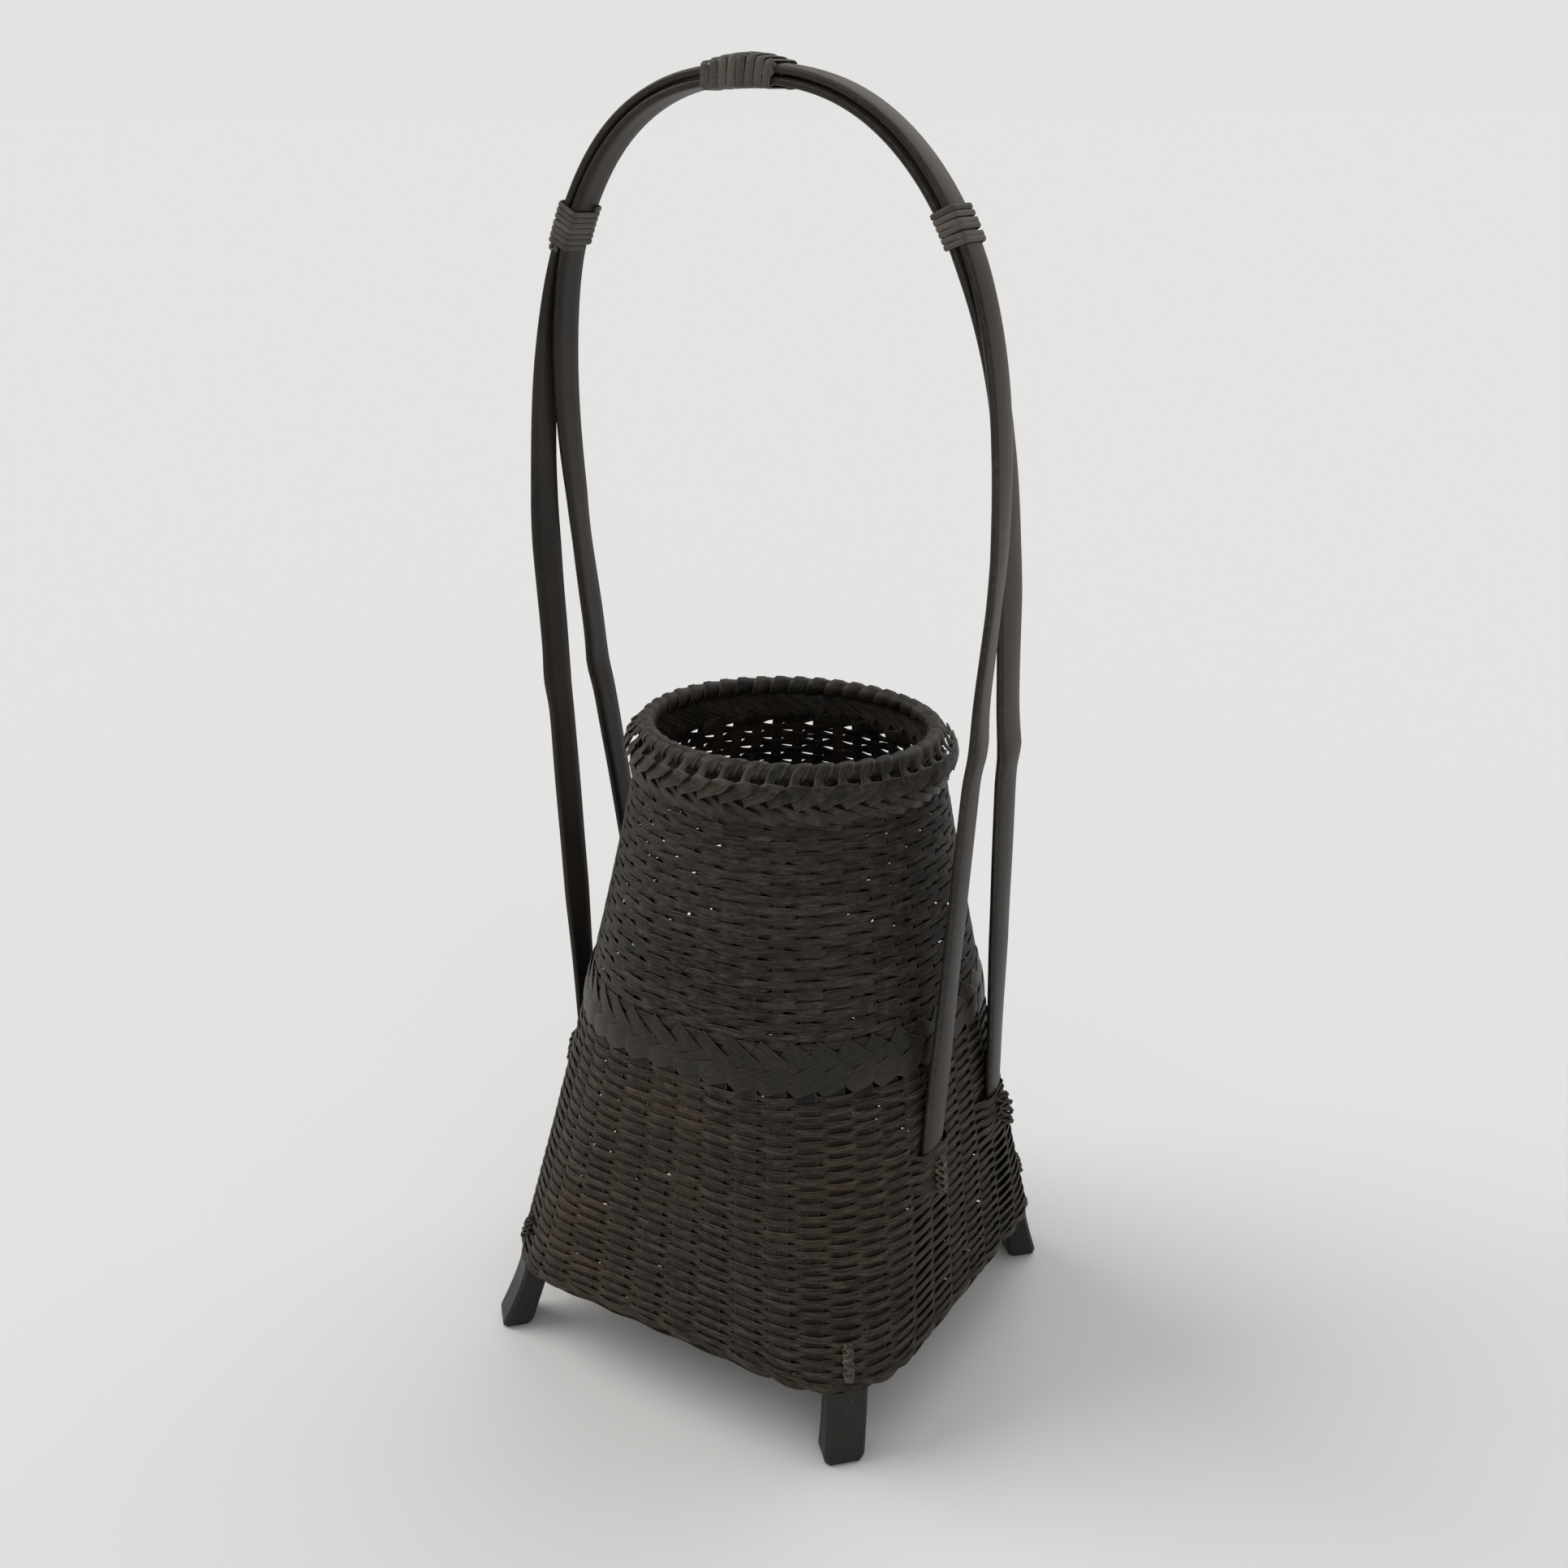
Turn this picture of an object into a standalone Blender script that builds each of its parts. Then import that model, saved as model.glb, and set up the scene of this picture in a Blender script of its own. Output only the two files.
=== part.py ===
# Ikebana basket of dark stained bamboo, made as its maker makes it: a woven body that goes from a
# square foot to a round mouth, four splayed feet whose stakes run up inside the corners, and a tall
# handle of two long strips that part into four legs, pass through the wall and are tied there.
# Frame: metres, +Z up, origin on the floor under the middle of the base. The arch stands along X.

import bpy
import bmesh
import numpy as np

mm = 0.001

# Clearance between pieces that touch on the real basket
gap = 0.3 * mm

# Woven body: a rounded square at the floor of the basket, a circle at the neck
baseHalfX = 85.0 * mm
baseHalfY = 81.5 * mm
neckHalf = 55.2 * mm
bottomEdge = 28.5 * mm
neckTop = 226.0 * mm
wallThick = 2.6 * mm
sideBulge = 5.9 * mm
sideLift = 4.4 * mm
sideLiftReach = 40.0 * mm
baseCornerShare = 0.40
cornerEaseShare = 1.6
narrowShare = 0.73
mouthLeanX = 5.0 * mm
mouthLeanY = 3.0 * mm
mouthTilt = 2.7 * mm
mouthTiltTurn = np.radians(-100.0)
mouthTiltPower = 6
ringCount = 48

# Coarse weave of the upper wall: strips pass before and behind its uprights, and repeat upwards
weaveTop = 221.4 * mm
uprightCount = 44
weaveRepeat = 8.4 * mm
weaveRelief = 1.1 * mm

# Braided band between the two weaves, and the pieces of the mouth
midBraidLow = 131.5 * mm
midBraidTall = 14.2 * mm
midBraidProud = 0.8 * mm
neckRowTall = 3.3 * mm
neckRowProud = 1.1 * mm
collarTall = 9.2 * mm
collarThick = 4.2 * mm
rimTube = 3.0 * mm
rimRadius = 51.0 * mm
rimWraps = 42
rimWrapDepth = 0.35 * mm
wrapPointCount = 3
rimSideCount = 6
innerBandTall = 11.5 * mm
innerBandThick = 1.8 * mm

# Woven floor and the two slats that stiffen it
floorThick = 2.2 * mm
floorRise = 2.0 * mm
slatWidth = 11.0 * mm
slatThick = 2.2 * mm
slatReachShare = 0.86
slatBowPower = 1.5

# Feet: a carved block under each corner, with a stake that runs up inside the wall
footWide = 14.0 * mm
footSoleThick = 12.0 * mm
footNeckThick = 7.0 * mm
footSplay = 4.5 * mm
footEdge = 1.2 * mm
stakeWide = 7.0 * mm
stakeThick = 3.6 * mm
stakeTop = 120.0 * mm
stakeSteps = 8

# Handle: two strips that lie on each other over the arch and part below its shoulders
stripWide = 12.5 * mm
stripThick = 2.7 * mm
stripCrown = 0.35 * mm
archTop = 451.0 * mm
archProud = 1.8 * mm
archHalf = baseHalfX + archProud
archWidest = 310.0 * mm
archFullness = 2.45
archLeanX = -5.5 * mm
archLeanY = -2.5 * mm
leanEvenShare = 0.55
leanPower = 6
archTurn = np.radians(2.0)
shoulderDrop = 46.0 * mm
shoulderHeight = archTop - shoulderDrop
partDrop = 8.5 * mm
partHeight = shoulderHeight - partDrop
legEnd = 42.0 * mm
legSpread = 28.0 * mm
nodeHeight = 243.0 * mm
nodeSwellShare = 0.08
nodeLength = 3.0 * mm
wallBend = 1.5 * mm
settleLength = 60.0 * mm
slotReach = 50.0 * mm
legEntry = 104.0 * mm
entryOffsets = {
    "front_left": 9.0 * mm,
    "front_right": 0.0,
    "back_left": 2.0 * mm,
    "back_right": -5.0 * mm,
}
legEaseShare = 0.1
archSteps = 13
legSteps = 8
wallSteps = 14

# Cane: three bindings round both strips, and the small knots that tie the legs and the feet
caneThick = 0.9 * mm
caneSideCount = 6
loopPointCount = 24
startPointCount = 16
shoulderCane = 1.45 * mm
shoulderPitch = 2.0 * mm
leftLoops = 7
rightLoops = 6
apexCane = 2.6 * mm
apexPitch = 3.2 * mm
apexLoops = 8
fillerTall = 3.6 * mm
fillerWide = 8.0 * mm
fillerLong = 21.0 * mm
fillerEndShare = 0.96
fillerSlack = 0.36 * mm
knotWide = 4.6 * mm
knotThick = 2.4 * mm
knotTall = 13.5 * mm
knotLobes = 3
footKnotLow = 33.0 * mm
legKnotDrop = 14.0 * mm

# How the strip's section, the foot and the knots are shaped, as shares of the sizes above
stripShares = [
    (-0.5, 0.1, 0.0),
    (-0.37, 0.43, 0.0),
    (0.0, 0.5, 1.0),
    (0.37, 0.43, 0.0),
    (0.5, 0.1, 0.0),
    (0.43, -0.5, 0.0),
    (0.0, -0.5, 0.0),
    (-0.43, -0.5, 0.0),
]
knotShares = [(-1, 0.15), (-0.62, 0.8), (0, 1), (0.62, 0.8), (1, 0.15), (0, 0.05)]
knotWaistShare = 0.62
knotEndShare = 0.35
floorRingShares = [1.0, 0.6, 0.25]
footShares = [
    (0.0, 1.0, 1.0),
    (0.2, 0.66, 0.72),
    (0.45, 0.33, 0.3),
    (0.75, 0.1, 0.06),
    (1.0, 0.0, 0.0),
]
twistHeightShares = [0.0, 0.18, 0.35, 0.54, 1.0]
twistShares = [0.0, 0.0, -1.0, -0.4, 0.0]
twistMost = np.radians(10.0)

# Small steps used to take a direction from a curve or a surface
probeStep = 1.0 * mm
probeTurn = 0.01

cornerNames = ["right", "back", "left", "front"]

basketColour = (0.030, 0.022, 0.018, 1.0)
stripColour = (0.045, 0.030, 0.024, 1.0)
footColour = (0.038, 0.036, 0.030, 1.0)
caneColour = (0.110, 0.098, 0.080, 1.0)


def makeMaterial(name, colour, roughness):
    material = bpy.data.materials.new(name)
    material.use_nodes = True
    shader = material.node_tree.nodes["Principled BSDF"]
    shader.inputs["Base Color"].default_value = colour
    shader.inputs["Roughness"].default_value = roughness
    shader.inputs["Metallic"].default_value = 0.0
    return material


def addObject(name, points, faces, colour, roughness, creaseAngle=40.0):
    # One closed body from points and faces, with its faces turned outwards and its creases kept sharp
    mesh = bpy.data.meshes.new(name)
    mesh.from_pydata([tuple(p) for p in points], [], faces)
    work = bmesh.new()
    work.from_mesh(mesh)
    bmesh.ops.recalc_face_normals(work, faces=work.faces)
    work.to_mesh(mesh)
    work.free()
    mesh.materials.append(makeMaterial(name, colour, roughness))
    mesh.shade_smooth()
    mesh.set_sharp_from_angle(angle=np.radians(creaseAngle))
    piece = bpy.data.objects.new(name, mesh)
    bpy.context.scene.collection.objects.link(piece)
    return piece


def gridFaces(rows, columns, closeRows):
    # Quads of a grid whose columns close on themselves, and whose rows do too where closeRows is set
    faces = []
    for i in range(rows if closeRows else rows - 1):
        for j in range(columns):
            below = i * columns
            above = (i + 1) % rows * columns
            right = (j + 1) % columns
            faces.append((below + j, below + right, above + right, above + j))
    return faces


def loft(name, sections, colour, roughness):
    # A body through equal sections, closed by a flat face at each end
    rows, columns = sections.shape[:2]
    faces = gridFaces(rows, columns, False)
    faces.append(tuple(range(columns)))
    faces.append(tuple(range((rows - 1) * columns, rows * columns)))
    return addObject(name, sections.reshape(-1, 3), faces, colour, roughness)


def cut(piece, cutter):
    cutter.hide_render = True
    cutter.display_type = "WIRE"
    difference = piece.modifiers.new("cut", "BOOLEAN")
    difference.operation = "DIFFERENCE"
    difference.object = cutter


def unit(vectors):
    return vectors / np.linalg.norm(vectors, axis=-1, keepdims=True)


def softStart(share, ease):
    # Nearly straight from 0 to 1, with a level start
    return (np.sqrt(share ** 2 + ease ** 2) - ease) / (np.sqrt(1 + ease ** 2) - ease)


# The woven wall's outer surface, which every other piece follows

def wallShare(height):
    return np.clip((height - bottomEdge) / (neckTop - bottomEdge), 0, 1)


def wallCentre(height):
    share = (height - bottomEdge) / (neckTop - bottomEdge)
    return np.stack([mouthLeanX * share, mouthLeanY * share], -1)


def foldedAngle(angle):
    # Angle from the middle of the nearest side, 0 to 45 degrees
    quarter = np.pi / 2
    return np.abs((angle + quarter / 2) % quarter - quarter / 2)


def wallRadius(angle, height):
    # Distance from the wall's centre: a square with round corners, bulged a little at its sides
    share = wallShare(height)
    drop = narrowShare * share + (1 - narrowShare) * share ** 2
    half = baseHalfX + (neckHalf - baseHalfX) * drop
    square = (1 - baseCornerShare) * (1 - share) ** cornerEaseShare
    reach = square * half
    corner = half - reach
    folded = foldedAngle(angle)
    side = half / np.cos(folded)
    across = reach * (np.cos(folded) + np.sin(folded))
    arc = across + np.sqrt(np.maximum(across ** 2 - 2 * reach ** 2 + corner ** 2, 0))
    radius = np.where(np.tan(folded) * half < reach, side, arc)
    return radius - sideBulge * square * np.tan(folded) ** 2


def wallPoint(angle, height, out):
    # Point on the wall, out metres outside its outer surface
    angle, height, out = np.broadcast_arrays(angle, height, out)
    radius = wallRadius(angle, height) + out
    depth = 1 + (baseHalfY / baseHalfX - 1) * (1 - wallShare(height))
    centre = wallCentre(height)
    x = centre[..., 0] + radius * np.cos(angle)
    y = centre[..., 1] + radius * np.sin(angle) * depth
    rise = sideLift * (1 - (foldedAngle(angle) / (np.pi / 4)) ** 2)
    z = height + rise * np.exp(-np.maximum(height - bottomEdge, 0) / sideLiftReach)
    tilt = mouthTilt * wallShare(height) ** mouthTiltPower * np.cos(angle - mouthTiltTurn)
    return np.stack([x, y, z + tilt], -1)


def wallNormal(points):
    # Outward normal of the wall's outer surface beside each point
    offset = points[:, :2] - wallCentre(points[:, 2])
    angle = np.arctan2(offset[:, 1], offset[:, 0])
    height = points[:, 2]
    around = wallPoint(angle + probeTurn, height, 0.0) - wallPoint(angle - probeTurn, height, 0.0)
    rising = wallPoint(angle, height + probeStep, 0.0) - wallPoint(angle, height - probeStep, 0.0)
    return unit(np.cross(around, rising))


def band(name, profile, colour, roughness, count=ringCount, relief=0.0, lobes=0):
    # A ring on the wall: profile is its closed section as height and distance outside the wall
    angles = np.arange(count) * 2 * np.pi / count
    sections = []
    for index, (height, out) in enumerate(profile):
        wave = relief * np.cos(lobes * angles + index * np.pi / 2)
        sections.append(wallPoint(angles, height, out + wave))
    points = np.array(sections)
    return addObject(name, points.reshape(-1, 3), gridFaces(len(profile), count, True), colour, roughness)


def wallBand(name, low, high, steps, proud=0.0):
    # A stretch of the woven wall, from its outer skin over the top and down the inside
    heights = np.linspace(low, high, steps)
    outside = [(z, proud) for z in heights]
    inside = [(z, -wallThick) for z in heights[::-1]]
    return band(name, outside + inside, basketColour, 0.6)


def wovenBand(name, low, high):
    # Four strips a repeat: the first and third dive behind every other upright, each at its own ones,
    # and the skin sinks there; the second and fourth stay in front
    count = np.arange(uprightCount)
    angles = 2 * np.pi * (count + 1 / 2) / uprightCount
    step = weaveRepeat / 4
    rows = np.arange(round((high - low) / step))
    heights = low + step * (rows + 1 / 2)
    dives = (rows % 2 == 0)[:, None] & ((count + rows[:, None] // 2) % 2 == 0)
    sunk = np.where(dives, -1.0, 0.0)
    skin = [wallPoint(angles, height, weaveRelief * out) for height, out in zip(heights, sunk)]
    inside = [wallPoint(angles, height, -wallThick) for height in np.linspace(high, low, 3)]
    sections = [wallPoint(angles, low, 0.0)] + skin + [wallPoint(angles, high, 0.0)] + inside
    points = np.array(sections).reshape(-1, 3)
    faces = gridFaces(len(sections), uprightCount, True)
    return addObject(name, points, faces, basketColour, 0.6)


def makeWalls():
    # Two weaves with the braided band between them; the legs of the handle pass through the lower one
    lower = wallBand("lower_wall", bottomEdge, midBraidLow - gap, 6)
    low = midBraidLow
    high = low + midBraidTall
    edge = midBraidTall / 6
    profile = [
        (low, 0),
        (low + edge, midBraidProud),
        (high - edge, midBraidProud),
        (high, 0),
        (high, -wallThick),
        (low, -wallThick),
    ]
    band("mid_braid", profile, basketColour, 0.55)
    wovenBand("upper_wall", high + gap, weaveTop)
    return lower


def makeMouth():
    # Two twined rows, the collar braid, the wrapped rim and the flat band that lines the mouth
    low = weaveTop + gap
    for name in ("neck_row_lower", "neck_row_upper"):
        middle = low + neckRowTall / 2
        high = low + neckRowTall
        profile = [(low, 0), (middle, neckRowProud), (high, 0), (high, -wallThick), (low, -wallThick)]
        band(name, profile, basketColour, 0.55)
        low = high + gap
    rimOut = rimRadius - neckHalf
    inside = rimOut + rimTube + rimWrapDepth + gap
    outside = inside + collarThick
    high = low + collarTall
    edge = collarTall / 4
    profile = [
        (low, inside),
        (low + edge, outside),
        (high - edge, outside),
        (high, inside + edge),
        (high, inside),
    ]
    band("collar_braid", profile, basketColour, 0.5)
    rimHeight = high
    turns = np.arange(rimSideCount) * 2 * np.pi / rimSideCount
    profile = [(rimHeight + rimTube * np.sin(t), rimOut + rimTube * np.cos(t)) for t in turns]
    band("rim_ring", profile, basketColour, 0.5, rimWraps * wrapPointCount, rimWrapDepth, rimWraps)
    top = rimHeight - rimTube - rimWrapDepth - gap
    low = top - innerBandTall
    inner = -wallThick - gap
    lining = inner - innerBandThick
    rising = (low, neckTop, top)
    profile = [(z, inner) for z in rising] + [(z, lining) for z in rising[::-1]]
    band("inner_band", profile, basketColour, 0.5)


# Feet and floor

def footSection(corner, height, outer, thick, wide):
    # Eight points of a foot or stake: outer is the distance of its outer face from the wall's surface
    out = np.array([np.cos(corner), np.sin(corner), 0.0])
    across = np.array([-np.sin(corner), np.cos(corner), 0.0])
    start = wallPoint(corner, max(height, bottomEdge), outer)
    start[2] = height
    half = wide / 2
    edge = min(footEdge, thick / 4)
    shape = [(0, half - edge), (0, edge - half), (edge, -half), (thick - edge, -half),
             (thick, edge - half), (thick, half - edge), (thick - edge, half), (edge, half)]
    return [start - out * depth + across * side for depth, side in shape]


def cornerAngle(index):
    return np.pi / 4 + index * np.pi / 2


def stakeDepth(height):
    # A flat face this wide clears the round corner by its sagitta
    share = wallShare(height)
    radius = neckHalf * (baseCornerShare + (1 - baseCornerShare) * share)
    sagitta = stakeWide ** 2 / (8 * radius)
    return wallThick + gap + sagitta


def makeFoot(name, corner):
    # The carved block with its sabre curve, a level shoulder under the wall, then the stake
    shoulder = bottomEdge - gap
    sections = []
    for heightShare, splayShare, thickShare in footShares:
        thick = footNeckThick + (footSoleThick - footNeckThick) * thickShare
        outer = footSplay * splayShare
        sections.append(footSection(corner, shoulder * heightShare, outer, thick, footWide))
    for height in np.linspace(shoulder, stakeTop, stakeSteps):
        sections.append(footSection(corner, height, -stakeDepth(height), stakeThick, stakeWide))
    return loft(name, np.array(sections), footColour, 0.45)


def makeFloor():
    # The woven floor is slightly domed, follows the wall's lower edge and is notched for the stakes
    angles = np.arange(ringCount) * 2 * np.pi / ringCount
    middle = np.array([0.0, 0.0, bottomEdge + floorRise])
    layers = []
    for lift in (0.0, floorThick):
        edge = wallPoint(angles, bottomEdge + lift, -wallThick - gap)
        centre = middle + [0.0, 0.0, lift]
        rings = []
        for share in floorRingShares:
            ring = centre + (edge - centre) * share
            ring[:, 2] = centre[2] + (edge[:, 2] - centre[2]) * share ** 2
            rings.append(ring)
        layers.append(rings)
    rings = layers[0][::-1] + layers[1]
    faces = gridFaces(len(rings), ringCount, False)
    points = np.concatenate(rings)
    centres = len(points)
    points = np.concatenate([points, [middle, middle + [0, 0, floorThick]]])
    last = (len(rings) - 1) * ringCount
    for j in range(ringCount):
        following = (j + 1) % ringCount
        faces.append((centres, following, j))
        faces.append((centres + 1, last + j, last + following))
    panel = addObject("floor_panel", points, faces, basketColour, 0.6)
    for index in range(4):
        cut(panel, makeNotch(cornerAngle(index)))


def makeNotch(corner):
    # Room for a stake at the floor's corner, open to the outside
    deep = 2 * wallThick + stakeDepth(bottomEdge) + stakeThick + gap
    ends = (bottomEdge - 2 * floorThick, bottomEdge + 4 * floorThick)
    sections = [footSection(corner, z, 2 * wallThick, deep, stakeWide + 2 * gap) for z in ends]
    return loft("notch_cutter", np.array(sections), footColour, 0.45)


def makeSlat(name, corner, lift):
    # A flat slat across the floor from corner to corner; the upper one is bowed over the lower one
    reach = slatReachShare * (wallRadius(corner, bottomEdge) - stakeDepth(bottomEdge) - stakeThick)
    along = np.array([np.cos(corner), np.sin(corner) * baseHalfY / baseHalfX, 0.0])
    along = unit(along)
    across = np.array([-along[1], along[0], 0.0])
    rest = bottomEdge + floorRise + floorThick + gap
    sections = []
    for share in np.linspace(-1, 1, 9):
        bow = lift * (1 - abs(share) ** slatBowPower)
        middle = along * reach * share + np.array([0.0, 0.0, rest + bow])
        half = across * slatWidth / 2
        tall = np.array([0.0, 0.0, slatThick])
        sections.append([middle - half, middle + half, middle + half + tall, middle - half + tall])
    loft(name, np.array(sections), stripColour, 0.5)


# Handle

def legName(side, front):
    return ("front" if front < 0 else "back") + ("_left" if side < 0 else "_right")


def legAnchor(side, front):
    # Where a leg's centre line crosses the wall's outer surface
    height = legEntry + entryOffsets[legName(side, front)]
    middle = 0.0 if side > 0 else np.pi
    return wallPoint(middle + archTurn + side * front * np.arctan2(legSpread, baseHalfX), height, 0.0)


def archLean(height):
    # The handle leans evenly at first and more towards its top
    share = (height - legEntry) / (archTop - legEntry)
    return leanEvenShare * share + (1 - leanEvenShare) * share ** leanPower


def archLine(turn):
    # The upper half of the handle as a full curve, turn running from -90 to 90 degrees over the top
    across = archHalf * np.sign(turn) * np.abs(np.sin(turn)) ** (2 / archFullness)
    height = archWidest + (archTop - archWidest) * np.cos(turn) ** (2 / archFullness)
    x = across * np.cos(archTurn) + archLeanX * archLean(height)
    y = across * np.sin(archTurn) + archLeanY * archLean(height)
    return np.stack([x, y, height], -1)


def halfPath(side, front):
    # Centre line from a leg's end, up inside the wall, through it and up to just short of the arch's top
    anchor = legAnchor(side, front)
    start = archLine(np.array([side * np.pi / 2]))[0]
    low = np.linspace(legEnd, legEntry + settleLength, wallSteps)
    high = np.linspace(legEntry + settleLength, archWidest, legSteps)
    node = nodeHeight + nodeLength * np.array([-1.0, 0.0, 1.0])
    heights = np.unique(np.concatenate([low, high, node]))
    down = np.clip((archWidest - heights) / (archWidest - anchor[2]), 0, None)
    x = start[0] + (anchor[0] - start[0]) * softStart(down, legEaseShare)
    leg = np.stack([x, np.full(len(x), start[1]), heights], -1)
    arch = archLine(side * np.linspace(np.pi / 2, 0, archSteps)[1:-1])
    path = np.concatenate([leg, arch])
    apart = np.clip((partHeight - path[:, 2]) / (partHeight - anchor[2]), 0, None)
    path[:, 1] += (anchor[1] - start[1]) * apart
    near = path[:, 2] <= legEntry + settleLength
    path[near] = followWall(path[near])
    return path


def followWall(points):
    # A line that would go deeper than the wall's inside is bent to run down along it
    centre = wallCentre(points[:, 2])
    offset = points[:, :2] - centre
    angle = np.arctan2(offset[:, 1], offset[:, 0])
    surface = wallPoint(angle, points[:, 2], 0.0)[:, :2] - centre
    length = np.linalg.norm(offset, axis=1)
    depth = length - np.linalg.norm(surface, axis=1)
    inside = -(wallThick + stripThick / 2 + stripCrown + 2 * gap)
    eased = (depth + inside + np.sqrt((depth - inside) ** 2 + wallBend ** 2)) / 2
    scale = (length + eased - depth) / length
    return np.concatenate([centre + offset * scale[:, None], points[:, 2:]], 1)


def handlePath(front):
    # Centre line of one whole strip, from the end of its left leg over the arch to its right leg's
    top = archLine(np.zeros(1))
    return np.concatenate([halfPath(-1, front), top, halfPath(1, front)[::-1]])


def stripFrames(path, front):
    # Tangent, outward normal and width direction along a strip, with the twist of its legs
    tangent = unit(np.gradient(path, axis=0))
    outward = np.stack([-tangent[:, 2], np.zeros(len(path)), tangent[:, 0]], -1)
    side = np.where(path[:, 0] < 0, -1, 1)
    share = np.clip((partHeight - path[:, 2]) / (partHeight - legEntry), 0, 1)
    twist = side * front * twistMost * np.interp(share, twistHeightShares, twistShares)
    turned = np.stack([outward[:, 0] * np.cos(twist), outward[:, 0] * np.sin(twist), outward[:, 2]], -1)
    settled = np.clip((legEntry + settleLength - path[:, 2]) / settleLength, 0, 1)[:, None]
    turned = turned * (1 - settled) + wallNormal(path) * settled
    normal = unit(turned - tangent * np.sum(turned * tangent, axis=1)[:, None])
    across = np.cross(tangent, normal)
    return tangent, normal, across


def stackOffset(path, layer):
    # Half the step between the stacked strips, which closes once they stand side by side
    share = np.clip((archWidest - path[:, 2]) / (archWidest - nodeHeight), 0, 1)
    return layer * (stripThick + stripCrown + gap) / 2 * (1 - share)


def stripBody(name, front, layer, outline, rows=slice(None)):
    # A body along one strip's path; outline is its section, as offsets across and outwards
    path = handlePath(front)
    tangent, normal, across = stripFrames(path, front)
    path = path + normal * stackOffset(path, layer)[:, None]
    swell = 1 + nodeSwellShare * np.exp(-((path[:, 2] - nodeHeight) / nodeLength) ** 2)
    sections = [path + (across * wide + normal * thick) * swell[:, None] for wide, thick in outline]
    return loft(name, np.array(sections).transpose(1, 0, 2)[rows], stripColour, 0.42)


def makeStrip(name, front, layer):
    # A flat strip of split bamboo with its crowned outer skin and a swollen node on each leg
    outline = []
    for wideShare, thickShare, crownShare in stripShares:
        outline.append((stripWide * wideShare, stripThick * thickShare + stripCrown * crownShare))
    stripBody(name, front, layer, outline)


def cutSlots(wall, front, layer):
    # A straight-sided slot where each leg of a strip passes through the wall
    wide = stripWide / 2 + gap
    outer = stripThick / 2 + stripCrown + gap
    inner = -stripThick / 2 - gap
    outline = [(-wide, outer), (wide, outer), (wide, inner), (-wide, inner)]
    path = handlePath(front)
    for side in (-1, 1):
        anchor = legAnchor(side, front)
        near = np.abs(path[:, 2] - anchor[2]) < slotReach
        rows = np.flatnonzero(near & (np.sign(path[:, 0]) == side))
        cut(wall, stripBody("slot_cutter", front, layer, outline, slice(rows[0], rows[-1] + 1)))


def makeHandle(wall):
    # The front strip lies outside over the arch; slots in the wall let the four legs through
    for name, front, layer in (("handle_front_strip", -1, 1), ("handle_back_strip", 1, -1)):
        makeStrip(name, front, layer)
        cutSlots(wall, front, layer)


# Cane bindings and knots

def loopOutline(halfWide, halfTall, corner):
    # The 24 points of one loop: three on each round corner, four and two on the flats between
    centres = [(1, 1), (-1, 1), (-1, -1), (1, -1)]
    arcs = []
    for quarter, signs in enumerate(centres):
        middle = (np.array([halfWide, halfTall]) - corner) * signs
        angles = (quarter + np.array([0.0, 0.5, 1.0])) * np.pi / 2
        arcs.append(middle + corner * np.stack([np.cos(angles), np.sin(angles)], -1))
    outline = []
    for quarter, count in enumerate((4, 2, 4, 2)):
        last = arcs[quarter][-1]
        following = arcs[(quarter + 1) % 4][0]
        shares = np.arange(1, count + 1)[:, None] / (count + 1)
        outline += [arcs[quarter], last + (following - last) * shares]
    return np.concatenate(outline)


def archFrame(places):
    # Middle of the two stacked strips at given distances along the arch from its top, and its frame
    turns = np.linspace(-np.pi / 2, np.pi / 2, 721)
    line = archLine(turns)
    steps = np.linalg.norm(np.diff(line, axis=0), axis=1)
    length = np.concatenate([[0], np.cumsum(steps)])
    length -= length[len(length) // 2]
    point = np.stack([np.interp(places, length, line[:, k]) for k in range(3)], -1)
    ahead = np.stack([np.interp(places + probeStep, length, line[:, k]) for k in range(3)], -1)
    tangent = unit(ahead - point)
    normal = unit(np.stack([-tangent[:, 2], np.zeros(len(places)), tangent[:, 0]], -1))
    return point, tangent, normal, np.cross(tangent, normal)


def archPlace(side, height):
    # Distance along the arch from its top to the point of that height
    turns = np.linspace(0, np.pi / 2, 721)
    line = archLine(side * turns)
    steps = np.linalg.norm(np.diff(line, axis=0), axis=1)
    length = np.concatenate([[0], np.cumsum(steps)])
    return side * np.interp(-height, -line[:, 2], length)


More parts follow.
